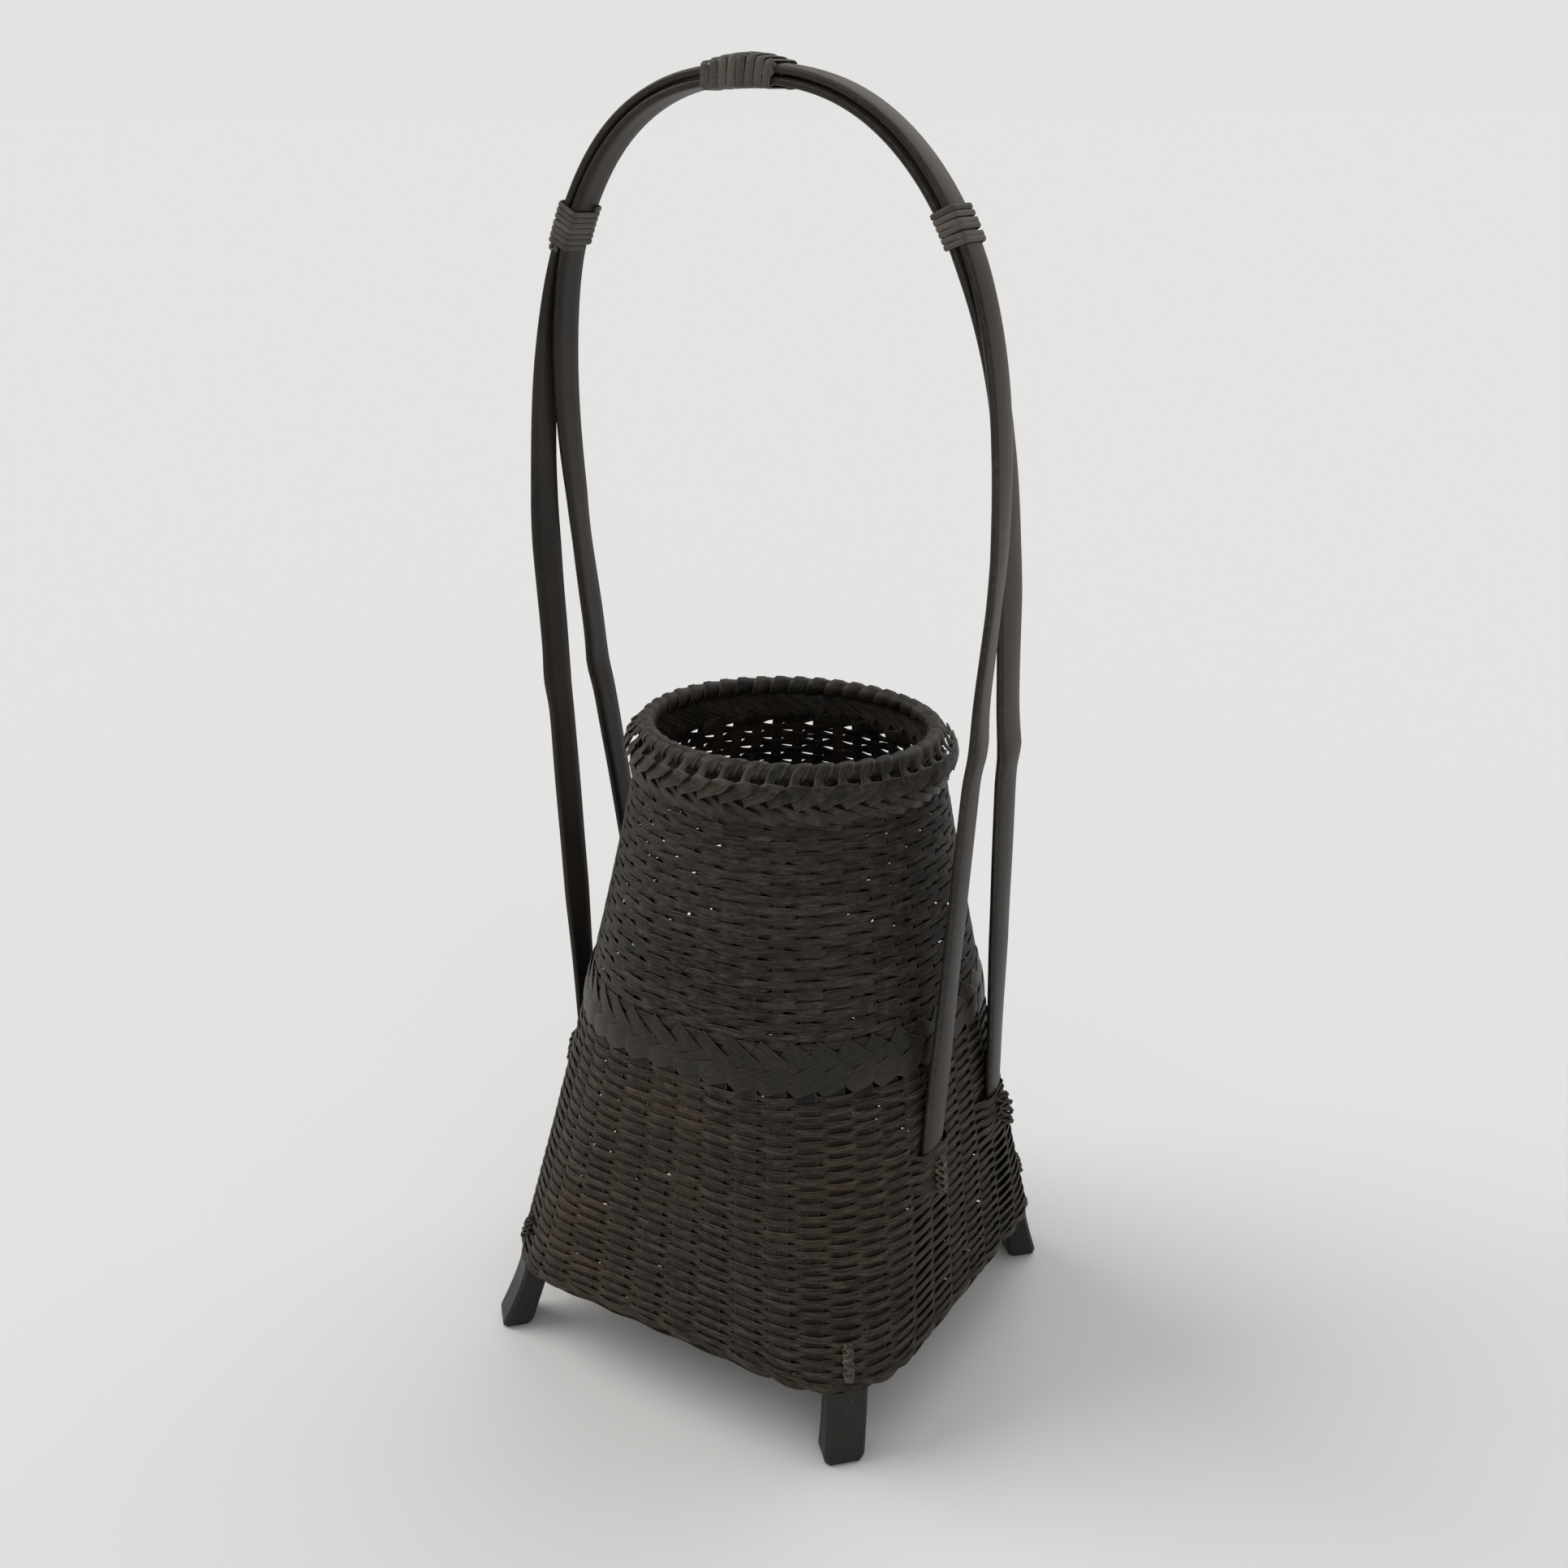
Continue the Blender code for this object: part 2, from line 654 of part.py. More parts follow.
def makeBinding(name, middle, loops, pitch, caneWide, hump):
    # One unbroken flat cane wound round both strips, its two ends run out straight under the arch
    halfWide = stripWide / 2 + gap + caneThick / 2
    halfTall = stripThick + stripCrown + gap + caneThick / 2 + gap / 2
    outline = loopOutline(halfWide, halfTall, caneThick)
    count = loopPointCount * loops + 1
    order = (np.arange(count) + startPointCount) % loopPointCount
    places = middle + pitch * (np.arange(count) / loopPointCount - loops / 2)
    side = outline[order, 0]
    tall = outline[order, 1]
    inboard = np.maximum(np.abs(places - middle) - caneWide / 2, 0)
    rise = hump(inboard) * np.clip(tall / halfTall, 0, 1)
    point, tangent, normal, across = archFrame(places)
    path = point + across * side[:, None] + normal * (tall + rise)[:, None]
    before = path[0] + unit(path[0] - path[1]) * caneWide
    after = path[-1] + unit(path[-1] - path[-2]) * caneWide
    path = np.concatenate([[before], path, [after]])
    along = unit(np.gradient(path, axis=0))
    flat = np.concatenate([tangent[:1], tangent, tangent[-1:]])
    flat = unit(flat - along * np.sum(flat * along, axis=1)[:, None])
    up = np.cross(along, flat)
    sections = []
    for turn in np.arange(caneSideCount) * 2 * np.pi / caneSideCount:
        wide = flat * np.cos(turn) * caneWide / 2
        sections.append(path + wide + up * np.sin(turn) * caneThick / 2)
    print(name, "least gap to itself", round(leastGap(path, caneWide) / mm, 2), "mm")
    loft(name, np.array(sections).transpose(1, 0, 2), caneColour, 0.6)


def leastGap(path, wide):
    # Smallest distance between loops of a winding, less the width of its cane
    apart = np.linalg.norm(path[:, None] - path[None], axis=2)
    index = np.arange(len(path))
    far = np.abs(index[:, None] - index[None]) > loopPointCount / 3
    return apart[far].min() - wide


def noHump(places):
    return np.zeros(len(places))


def apexHump(places):
    # Height of the filler under the apex binding
    return fillerTall * np.sqrt(np.clip(1 - (2 * places / fillerLong) ** 2, 0, 1))


def makeFiller():
    # A bundle of cane ends on top of the arch, which raises the middle of the apex binding
    places = np.linspace(-0.5, 0.5, 9) * fillerLong * fillerEndShare
    point, tangent, normal, across = archFrame(places)
    base = stripThick + stripCrown + gap / 2 + gap
    tall = apexHump(places) - fillerSlack
    sections = []
    for turn in np.linspace(0, np.pi, 7):
        side = across * (fillerWide / 2 * np.cos(turn))
        sections.append(point + side + normal * (base + tall * np.sin(turn))[:, None])
    loft("apex_filler", np.array(sections).transpose(1, 0, 2), caneColour, 0.65)


def makeKnot(name, angle, low):
    # A small plaited knot that stands on the wall, seen as a row of crossing lobes
    sections = []
    for share in np.linspace(0, 1, 3 * knotLobes + 2):
        bulge = knotWaistShare + (1 - knotWaistShare) * abs(np.sin(np.pi * knotLobes * share))
        close = min(1.0, 2 * knotLobes * min(share, 1 - share) + knotEndShare)
        wide = knotWide / 2 * bulge * close
        thick = knotThick * bulge * close
        height = low + knotTall * share
        point = wallPoint(angle, height, gap)
        out = np.array([np.cos(angle), np.sin(angle), 0.0])
        across = np.array([-np.sin(angle), np.cos(angle), 0.0])
        sections.append([point + across * wide * a + out * thick * b for a, b in knotShares])
    loft(name, np.array(sections), caneColour, 0.6)


def makeBindings():
    left = archPlace(-1, shoulderHeight)
    right = archPlace(1, shoulderHeight)
    makeBinding("left_shoulder_binding", left, leftLoops, shoulderPitch, shoulderCane, noHump)
    makeBinding("right_shoulder_binding", right, rightLoops, shoulderPitch, shoulderCane, noHump)
    makeBinding("apex_binding", 0.0, apexLoops, apexPitch, apexCane, apexHump)
    makeFiller()


def makeKnots():
    for index, corner in enumerate(cornerNames):
        makeKnot("foot_tie_" + corner, cornerAngle(index), footKnotLow)
    for side in (-1, 1):
        for front in (-1, 1):
            anchor = legAnchor(side, front)
            centre = wallCentre(anchor[2])
            angle = np.arctan2(anchor[1] - centre[1], anchor[0] - centre[0])
            makeKnot("leg_tie_" + legName(side, front), angle, anchor[2] - legKnotDrop - knotTall)


def main():
    for old in list(bpy.data.objects):
        bpy.data.objects.remove(old)
    wall = makeWalls()
    makeMouth()
    makeFloor()
    makeSlat("floor_slat_lower", cornerAngle(0), 0.0)
    makeSlat("floor_slat_upper", cornerAngle(1), slatThick + gap)
    for index, corner in enumerate(cornerNames):
        makeFoot("foot_" + corner, cornerAngle(index))
    makeHandle(wall)
    makeBindings()
    makeKnots()


main()
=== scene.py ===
import bpy
import numpy as np
from mathutils import Matrix, Vector


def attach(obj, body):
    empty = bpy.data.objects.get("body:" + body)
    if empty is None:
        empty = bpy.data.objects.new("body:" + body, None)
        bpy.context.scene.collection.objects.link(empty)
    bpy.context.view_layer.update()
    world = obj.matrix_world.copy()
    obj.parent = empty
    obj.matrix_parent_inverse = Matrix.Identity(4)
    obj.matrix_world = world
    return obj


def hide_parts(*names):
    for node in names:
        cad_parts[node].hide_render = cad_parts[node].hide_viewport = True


# Looks of the dark stained ikebana basket: every woven, wound and plaited piece is modelled strip by strip
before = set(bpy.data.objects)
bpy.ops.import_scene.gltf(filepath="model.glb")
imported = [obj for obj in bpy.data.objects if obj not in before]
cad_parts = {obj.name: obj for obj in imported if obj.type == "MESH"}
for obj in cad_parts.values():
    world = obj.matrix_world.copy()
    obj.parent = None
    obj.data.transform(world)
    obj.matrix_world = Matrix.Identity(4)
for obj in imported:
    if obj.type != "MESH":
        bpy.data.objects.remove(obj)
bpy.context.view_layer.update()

mm = 0.001
quarterTurn = np.pi / 2
fullTurn = 2 * np.pi
chance = np.random.default_rng(11)

# The wall that everything follows, with the frame's own sizes
wall = {
    "halfX": 85.0 * mm,
    "halfY": 81.5 * mm,
    "neckHalf": 55.2 * mm,
    "bottom": 28.5 * mm,
    "top": 226.0 * mm,
    "thick": 2.6 * mm,
    "bulge": 5.9 * mm,
    "lift": 4.4 * mm,
    "liftReach": 40.0 * mm,
    "cornerShare": 0.40,
    "cornerEase": 1.6,
    "narrowShare": 0.73,
    "leanX": 5.0 * mm,
    "leanY": 3.0 * mm,
    "tilt": 2.7 * mm,
    "tiltTurn": np.radians(-100.0),
    "tiltPower": 6,
    "uprights": 44,
    "evenShare": 0.055,
    "slopeTurn": 0.01,
    "slopeRise": 1.0 * mm,
}


def unit(vectors):
    # Each vector divided by its length
    return vectors / np.linalg.norm(vectors, axis=-1, keepdims=True)


def smooth(share):
    # Level at 0 and 1, steepest between
    share = np.clip(share, 0, 1)
    return share * share * (3 - 2 * share)


def jitter(most, count):
    # One chance value for each strip, between -most and most
    return chance.uniform(-most, most, (count, 1))


def wallShare(height):
    # 0 at the wall's foot, 1 at its neck
    return np.clip((height - wall["bottom"]) / (wall["top"] - wall["bottom"]), 0, 1)


def wallCentre(height):
    # The middle line leans evenly and stands straight over the origin at the wall's foot
    share = (height - wall["bottom"]) / (wall["top"] - wall["bottom"])
    return np.stack([wall["leanX"] * share, wall["leanY"] * share], -1)


def foldedAngle(angle):
    # Angle from the middle of the nearest side, 0 to 45 degrees
    return np.abs((angle + quarterTurn / 2) % quarterTurn - quarterTurn / 2)


def wallRadius(angle, height):
    # A square with round corners and slightly bulged sides that becomes a circle at the neck
    share = wallShare(height)
    drop = wall["narrowShare"] * share + (1 - wall["narrowShare"]) * share ** 2
    half = wall["halfX"] + (wall["neckHalf"] - wall["halfX"]) * drop
    square = (1 - wall["cornerShare"]) * (1 - share) ** wall["cornerEase"]
    reach = square * half
    corner = half - reach
    folded = foldedAngle(angle)
    side = half / np.cos(folded)
    across = reach * (np.cos(folded) + np.sin(folded))
    arc = across + np.sqrt(np.maximum(across ** 2 - 2 * reach ** 2 + corner ** 2, 0))
    radius = np.where(np.tan(folded) * half < reach, side, arc)
    return radius - wall["bulge"] * square * np.tan(folded) ** 2


def wallPoint(angle, height, out):
    # Point at that angle and height, out metres outside the wall's outer surface: the radius times the
    # angle's cosine and sine, with y shortened towards the foot, the foot's edge raised between the
    # corners and the mouth tilted
    angle, height, out = np.broadcast_arrays(angle, height, out)
    radius = wallRadius(angle, height) + out
    depth = 1 + (wall["halfY"] / wall["halfX"] - 1) * (1 - wallShare(height))
    centre = wallCentre(height)
    x = centre[..., 0] + radius * np.cos(angle)
    y = centre[..., 1] + radius * np.sin(angle) * depth
    rise = wall["lift"] * (1 - (foldedAngle(angle) / (np.pi / 4)) ** 2)
    z = height + rise * np.exp(-np.maximum(height - wall["bottom"], 0) / wall["liftReach"])
    tilt = wall["tilt"] * wallShare(height) ** wall["tiltPower"] * np.cos(angle - wall["tiltTurn"])
    return np.stack([x, y, z + tilt], -1)


def aroundWall(points):
    # Level offset of each point from the wall's middle line, and the angle at which it points
    offset = points[..., :2] - wallCentre(points[..., 2])
    return offset, np.arctan2(offset[..., 1], offset[..., 0])


def wallNormal(points):
    # Outward direction of the wall beside each point, square to small steps round and up
    angle, height = aroundWall(points)[1], points[:, 2]
    turn, rise = wall["slopeTurn"], wall["slopeRise"]
    around = wallPoint(angle + turn, height, 0.0) - wallPoint(angle - turn, height, 0.0)
    rising = wallPoint(angle, height + rise, 0.0) - wallPoint(angle, height - rise, 0.0)
    return unit(np.cross(around, rising))


def spreadAngle(turn, height):
    # Uprights stand evenly along the square foot and evenly round the circle above
    square = (1 - wallShare(height)) ** wall["cornerEase"]
    return fullTurn * turn + wall["evenShare"] * square * np.sin(4 * fullTurn * turn)


def slowWave(turn, rows, most, waves=9, fewest=2, densest=40):
    # For each row a sum of sines round the wall with chance phases, which closes on itself
    phases = chance.uniform(0, fullTurn, (waves, rows, 1))
    sizes = chance.normal(0, 1, (waves, rows, 1)) / np.sqrt(waves)
    counts = chance.integers(fewest, densest, (waves, rows, 1))
    return most * np.sum(sizes * np.sin(fullTurn * counts * turn[None, None] + phases), axis=0)


def runAlong(path):
    # Length of a path, or of many, from its start to each of its points
    steps = np.linalg.norm(np.diff(path, axis=-2), axis=-1)
    return np.concatenate([np.zeros(steps.shape[:-1] + (1,)), np.cumsum(steps, axis=-1)], -1)


# Meshes from whole arrays

def stripFaces(count, length, sides, closed):
    # Quads between the sections of count strips that lie one after another, with their end caps
    strips = np.arange(count)[:, None, None] * length * sides
    steps = np.arange(length if closed else length - 1)[None, :, None]
    around = np.arange(sides)[None, None]
    here = strips + steps * sides
    ahead = strips + (steps + 1) % length * sides
    after = (around + 1) % sides
    quads = np.stack([here + around, here + after, ahead + after, ahead + around], -1).reshape(-1, 4)
    if closed:
        return [quads]
    first = strips[:, 0] + np.arange(sides)[None, ::-1]
    last = strips[:, 0] + (length - 1) * sides + np.arange(sides)[None]
    return [quads, first, last]


def signedVolume(points, faceSets):
    # Six times the volume inside, summed over each face's fan of triangles; below zero where they face in
    total = 0.0
    for faces in faceSets:
        for corner in range(1, faces.shape[1] - 1):
            a, b, c = points[faces[:, 0]], points[faces[:, corner]], points[faces[:, corner + 1]]
            total += np.sum(a * np.cross(b, c))
    return total


def buildPiece(name, points, faceSets, finish, nodes=(), along=None, across=None, tone=None, crease=50,
               skin=None, edge=None):
    # One mesh of the scene: faces turned outwards, strip coordinates in its UV map, and as attributes
    # its tone, how near each point is to the strip's edge and, for split bamboo, where its skin is
    points = np.asarray(points, float).reshape(-1, 3)
    if signedVolume(points, faceSets) < 0:
        faceSets = [faces[:, ::-1] for faces in faceSets]
    corners = np.concatenate([faces.ravel() for faces in faceSets])
    totals = np.concatenate([np.full(len(faces), faces.shape[1]) for faces in faceSets])
    starts = np.concatenate([[0], np.cumsum(totals)[:-1]])
    mesh = bpy.data.meshes.new(name)
    mesh.vertices.add(len(points))
    mesh.vertices.foreach_set("co", points.astype(np.float32).ravel())
    mesh.loops.add(len(corners))
    mesh.loops.foreach_set("vertex_index", corners.astype(np.int32))
    mesh.polygons.add(len(totals))
    mesh.polygons.foreach_set("loop_start", starts.astype(np.int32))
    mesh.polygons.foreach_set("loop_total", totals.astype(np.int32))
    mesh.update(calc_edges=True)
    if along is not None:
        layer = mesh.uv_layers.new(name="UVMap")
        pairs = np.stack([np.broadcast_to(along, across.shape).ravel(), across.ravel()], -1)
        layer.data.foreach_set("uv", pairs[corners].astype(np.float32).ravel())
    for label, given in (("tone", tone), ("skin", skin), ("edge", edge)):
        values = np.zeros(len(points)) if given is None else np.asarray(given, float).ravel()
        mesh.attributes.new(label, "FLOAT", "POINT").data.foreach_set("value", values.astype(np.float32))
    mesh.shade_smooth()
    mesh.set_sharp_from_angle(angle=np.radians(crease))
    mesh.materials.append(finish)
    piece = bpy.data.objects.new(name, mesh)
    bpy.context.scene.collection.objects.link(piece)
    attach(piece, "root")
    for node in nodes:
        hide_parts(node)
    return piece


# Sections as shares of a strip's width and thickness
flatShares = np.array([[-0.5, 0.0], [-0.41, 0.45], [0.41, 0.45], [0.5, 0.0], [0.41, -0.5], [-0.41, -0.5]])
lensShares = np.array([[-0.5, -0.1], [-0.3, 0.36], [0.08, 0.5], [0.36, 0.3], [0.5, -0.1], [0.0, -0.5]])
leafShares = np.array([[-0.5, 0.0], [-0.38, 0.4], [0.0, 0.5], [0.38, 0.4], [0.5, 0.0],
                       [0.38, -0.45], [0.0, -0.5], [-0.38, -0.45]])
caneShares = np.array([[-0.5, 0.0], [-0.36, 0.38], [0.0, 0.5], [0.36, 0.38], [0.5, 0.0],
                       [0.36, -0.4], [0.0, -0.5], [-0.36, -0.4]])

# Metres of grain from which a strip's own start is drawn, so that no two strips show the same grain
grainOnWall = 3.0
grainOnPath = 2.0


def edgeShares(shares, shape):
    # 1 at a strip's edges and 0 along its middle
    return np.broadcast_to(2 * np.abs(shares[:, 0]), shape)


def carrySection(path, across, normal, side, lift):
    # A section carried along a path: each corner is path + across * side + normal * lift
    path, across, normal = (values[..., None, :] for values in (path, across, normal))
    return path + across * side[..., None] + normal * lift[..., None]


def buildStrips(name, points, shares, wide, run, grain, finish, nodes, tone, closed=False):
    # Strips from the points of their sections, with the length run along each one and its own tone
    count, length = run.shape
    shape = points.shape[:-1]
    run = run + chance.uniform(0, grain, (count, 1))
    tone = jitter(1, count) if tone is None else tone
    along, tone = (np.broadcast_to(values[..., None], shape) for values in (run, tone))
    side = np.broadcast_to(shares[:, 0] * wide[..., None], shape)
    return buildPiece(name, points, stripFaces(count, length, len(shares), closed), finish, nodes,
                      along, side, tone, edge=edgeShares(shares, shape))


def ribbonOnWall(angle, height, out, lean, wide, thick, shares, tilt):
    # Flat strips on the wall: each centre line carries the section, its width turned lean from upright,
    # and tilt lifts one edge off the wall and sinks the other
    reach = shares[:, 0] * wide[..., None]
    around = angle[..., None] + reach * np.sin(lean)[..., None] / wallRadius(angle, height)[..., None]
    rising = height[..., None] + reach * np.cos(lean)[..., None]
    lift = out[..., None] + shares[:, 1] * thick[..., None] + tilt * reach
    return wallPoint(around, rising, lift)


def wallStrips(name, angle, height, out, wide, thick, finish, nodes=(), lean=0.0, shares=flatShares,
               tilt=0.0, closed=False, tone=None):
    # A piece made of many strips on the wall; all arrays are strips by steps
    size = np.broadcast_shapes(angle.shape, height.shape, out.shape)
    angle, height, out, lean, wide, thick = (np.broadcast_to(values, size) for values in
                                             (angle, height, out, lean, wide, thick))
    points = ribbonOnWall(angle, height, out, lean, wide, thick, shares, tilt)
    run = runAlong(wallPoint(angle, height, out))
    return buildStrips(name, points, shares, wide, run, grainOnWall, finish, nodes, tone, closed)


def sweepStrip(name, paths, flats, wide, thick, finish, nodes=(), tone=None):
    # Flat canes along free paths; flats gives the direction of each one's width
    shares = caneShares
    along = unit(np.gradient(paths, axis=1))
    flats = np.broadcast_to(flats, paths.shape)
    flats = unit(flats - along * np.sum(flats * along, axis=-1, keepdims=True))
    wide = np.broadcast_to(wide, paths.shape[:2])
    thick = np.broadcast_to(thick, paths.shape[:2])
    points = carrySection(paths, flats, np.cross(along, flats), shares[:, 0] * wide[..., None],
                          shares[:, 1] * thick[..., None])
    return buildStrips(name, points, shares, wide, runAlong(paths), grainOnPath, finish, nodes, tone)


# Finishes

# Detail and roughness of each noise, the stretch of its values that counts, and how far it shifts things
noises = {
    "grain": (4.0, 0.6),
    "patch": (2.0, 0.55),
    "speck": (3.0, 0.7),
    "driftSpan": (0.42, 0.58),
    "streakSpan": (0.42, 0.72),
    "wearSpan": (0.62, 0.78),
    "wideSpan": (0.3, 0.7),
    "skinShift": (-0.25, 0.25),
    "edgeShift": (-0.10, 0.06),
    "roughShift": (-0.05, 0.05),
    "toneShift": 37.0,
    "bumpDeep": 0.25 * mm,
}


def makeFinish(name, look):
    # Stained bamboo: a base that drifts between two colours, tone from strip to strip, long grain that
    # follows the strip, pale rubbed spots, and pale strip edges that are partly wear and partly a painted
    # highlight
    material = bpy.data.materials.new(name)
    material.use_nodes = True
    tree = material.node_tree
    nodes, links = tree.nodes, tree.links
    shader = nodes["Principled BSDF"]
    shader.inputs["Specular IOR Level"].default_value = look["gloss"]

    def add(kind, **values):
        node = nodes.new(kind)
        for key, value in values.items():
            setattr(node, key, value)
        return node

    def feed(socket, value):
        # A colour is given as three numbers
        if isinstance(value, bpy.types.NodeSocket):
            links.new(value, socket)
        else:
            socket.default_value = (*value, 1.0) if isinstance(value, tuple) else value

    def noise(vector, kind, shift=None):
        node = add("ShaderNodeTexNoise", noise_dimensions="4D")
        feed(node.inputs["Scale"], look[kind])
        feed(node.inputs["Detail"], noises[kind][0])
        feed(node.inputs["Roughness"], noises[kind][1])
        feed(node.inputs["Vector"], vector)
        if shift is not None:
            feed(node.inputs["W"], shift)
        return node.outputs["Fac"]

    def fit(value, span, onto):
        node = add("ShaderNodeMapRange")
        for key, number in zip(("From Min", "From Max", "To Min", "To Max"), (*span, *onto)):
            feed(node.inputs[key], number)
        feed(node.inputs["Value"], value)
        return node.outputs["Result"]

    def blend(share, first, second):
        # Sockets 6 and 7 are the two colours of the node, and output 2 is the mixed one
        node = add("ShaderNodeMix", data_type="RGBA")
        for place, value in ((0, share), (6, first), (7, second)):
            feed(node.inputs[place], value)
        return node.outputs[2]

    def combine(first, second, operation):
        node = add("ShaderNodeMath", operation=operation)
        feed(node.inputs[0], first)
        feed(node.inputs[1], second)
        return node.outputs[0]

    def attribute(label):
        return add("ShaderNodeAttribute", attribute_name=label).outputs["Fac"]

    place = add("ShaderNodeTexCoord").outputs["Object"]
    tone = attribute("tone")
    scaled = add("ShaderNodeMapping")
    if look.get("flat"):
        feed(scaled.inputs["Vector"], place)
        scaled.inputs["Scale"].default_value = look["stretch"]
    else:
        feed(scaled.inputs["Vector"], add("ShaderNodeUVMap", uv_map="UVMap").outputs["UV"])
        scaled.inputs["Scale"].default_value = (1.0, look["stretch"], 1.0)
    grain = noise(scaled.outputs["Vector"], "grain", combine(tone, noises["toneShift"], "MULTIPLY"))
    patch = noise(place, "patch")
    speck = noise(place, "speck")
    drift = blend(fit(patch, noises["driftSpan"], (0.0, 1.0)), look["dark"], look["warm"])
    if "skin" in look:
        skinPlace = combine(attribute("skin"), fit(patch, noises["wideSpan"], noises["skinShift"]), "ADD")
        drift = blend(fit(skinPlace, (0.0, 1.0), (0.0, 1.0)), drift, look["skin"])
    streak = blend(fit(grain, noises["streakSpan"], (0.0, look["streak"])), drift, look["pale"])
    toned = add("ShaderNodeVectorMath", operation="SCALE")
    feed(toned.inputs[0], streak)
    feed(toned.inputs["Scale"], fit(tone, (-1.0, 1.0), (1 - look["vary"], 1 + look["vary"])))
    worn = blend(fit(speck, noises["wearSpan"], (0.0, look["wear"])), toned.outputs[0], look["wearAndHighlight"])
    # Strip edges blend towards the pale colour: partly wear, partly a painted highlight where light catches
    # the edges
    uneven = combine(attribute("edge"), fit(speck, noises["wideSpan"], noises["edgeShift"]), "ADD")
    edged = blend(fit(uneven, (look["edgeFrom"], 1.0), (0.0, look["edge"])), worn, look["wearAndHighlight"])
    feed(shader.inputs["Base Color"], edged)
    feed(shader.inputs["Roughness"],
         combine(fit(grain, noises["wideSpan"], (look["smoothest"], look["roughest"])),
                 fit(patch, noises["wideSpan"], noises["roughShift"]), "ADD"))
    bump = add("ShaderNodeBump")
    feed(bump.inputs["Strength"], look["bump"])
    feed(bump.inputs["Distance"], noises["bumpDeep"])
    feed(bump.inputs["Height"], grain)
    feed(shader.inputs["Normal"], bump.outputs["Normal"])
    return material


weaveLook = {
    "dark": (0.0115, 0.0103, 0.0076),
    "warm": (0.0250, 0.0158, 0.0104),
    "pale": (0.105, 0.083, 0.061),
    "wearAndHighlight": (0.120, 0.099, 0.075),
    "grain": 180.0, "stretch": 9.0, "patch": 19.0, "speck": 260.0,
    "streak": 0.72, "vary": 0.45, "wear": 0.22, "edge": 0.50, "edgeFrom": 0.80,
    "smoothest": 0.42, "roughest": 0.68, "gloss": 0.16, "bump": 0.7,
}
upperLook = dict(weaveLook, dark=(0.0100, 0.0092, 0.0078), warm=(0.0205, 0.0142, 0.0115),
                 pale=(0.096, 0.081, 0.068))
uprightLook = dict(weaveLook, dark=(0.011, 0.009, 0.008), warm=(0.020, 0.014, 0.011), streak=0.3)
rimLook = dict(weaveLook, dark=(0.0105, 0.0098, 0.0080), warm=(0.0220, 0.0150, 0.0110), streak=0.45,
               smoothest=0.36, roughest=0.58, grain=240.0, stretch=8.0, vary=0.5, patch=24.0, edge=0.6,
               edgeFrom=0.78, gloss=0.24)
braidLook = dict(rimLook, dark=(0.0125, 0.0112, 0.0092), warm=(0.0280, 0.0190, 0.0135), streak=0.35,
                 vary=0.15, edge=0.12, patch=15.0)
handleLook = {
    "dark": (0.0120, 0.0110, 0.0090),
    "warm": (0.0190, 0.0140, 0.0108),
    "skin": (0.068, 0.049, 0.038),
    "pale": (0.080, 0.062, 0.050),
    "wearAndHighlight": (0.130, 0.115, 0.100),
    "grain": 330.0, "stretch": 16.0, "patch": 14.0, "speck": 420.0,
    "streak": 0.35, "vary": 0.12, "wear": 0.30, "edge": 0.25, "edgeFrom": 0.86,
    "smoothest": 0.32, "roughest": 0.50, "gloss": 0.22, "bump": 0.25,
}
footLook = {
    "dark": (0.0120, 0.0118, 0.0100),
    "warm": (0.0185, 0.0175, 0.0145),
    "pale": (0.044, 0.041, 0.035),
    "wearAndHighlight": (0.160, 0.145, 0.120),
    "grain": 120.0, "stretch": (6.0, 6.0, 0.7), "patch": 60.0, "speck": 500.0,
    "streak": 0.35, "vary": 0.1, "wear": 0.45, "edge": 0.0, "edgeFrom": 0.8, "flat": True,
    "smoothest": 0.36, "roughest": 0.6, "gloss": 0.25, "bump": 0.45,
}
slatLook = dict(footLook, stretch=(1.0, 1.0, 1.0), grain=240.0, wear=0.2)
caneLook = {
    "dark": (0.056, 0.051, 0.043),
    "warm": (0.074, 0.061, 0.048),
    "pale": (0.160, 0.140, 0.114),
    "wearAndHighlight": (0.240, 0.215, 0.175),
    "grain": 700.0, "stretch": 7.0, "patch": 90.0, "speck": 600.0,
    "streak": 0.6, "vary": 0.35, "wear": 0.6, "edge": 0.3, "edgeFrom": 0.75,
    "smoothest": 0.45, "roughest": 0.75, "gloss": 0.4, "bump": 0.6,
}
tieLook = dict(caneLook, dark=(0.013, 0.011, 0.009), warm=(0.050, 0.039, 0.027),
               pale=(0.230, 0.190, 0.135), patch=240.0, vary=0.7)
knotLook = dict(caneLook, dark=(0.012, 0.011, 0.009), warm=(0.026, 0.020, 0.015),
                pale=(0.080, 0.068, 0.054), patch=200.0)

wovenBamboo = makeFinish("woven bamboo", weaveLook)
upperBamboo = makeFinish("upper bamboo", upperLook)
uprightBamboo = makeFinish("upright bamboo", uprightLook)
rimBamboo = makeFinish("rim bamboo", rimLook)
braidBamboo = makeFinish("braid bamboo", braidLook)
handleBamboo = makeFinish("handle bamboo", handleLook)
footBamboo = makeFinish("foot bamboo", footLook)
slatBamboo = makeFinish("slat bamboo", slatLook)
bindingCane = makeFinish("binding cane", caneLook)
tieCane = makeFinish("tie cane", tieLook)
knotCane = makeFinish("knot cane", knotLook)
print("finishes made")


# Handle: its centre lines are the frame's, sampled more finely

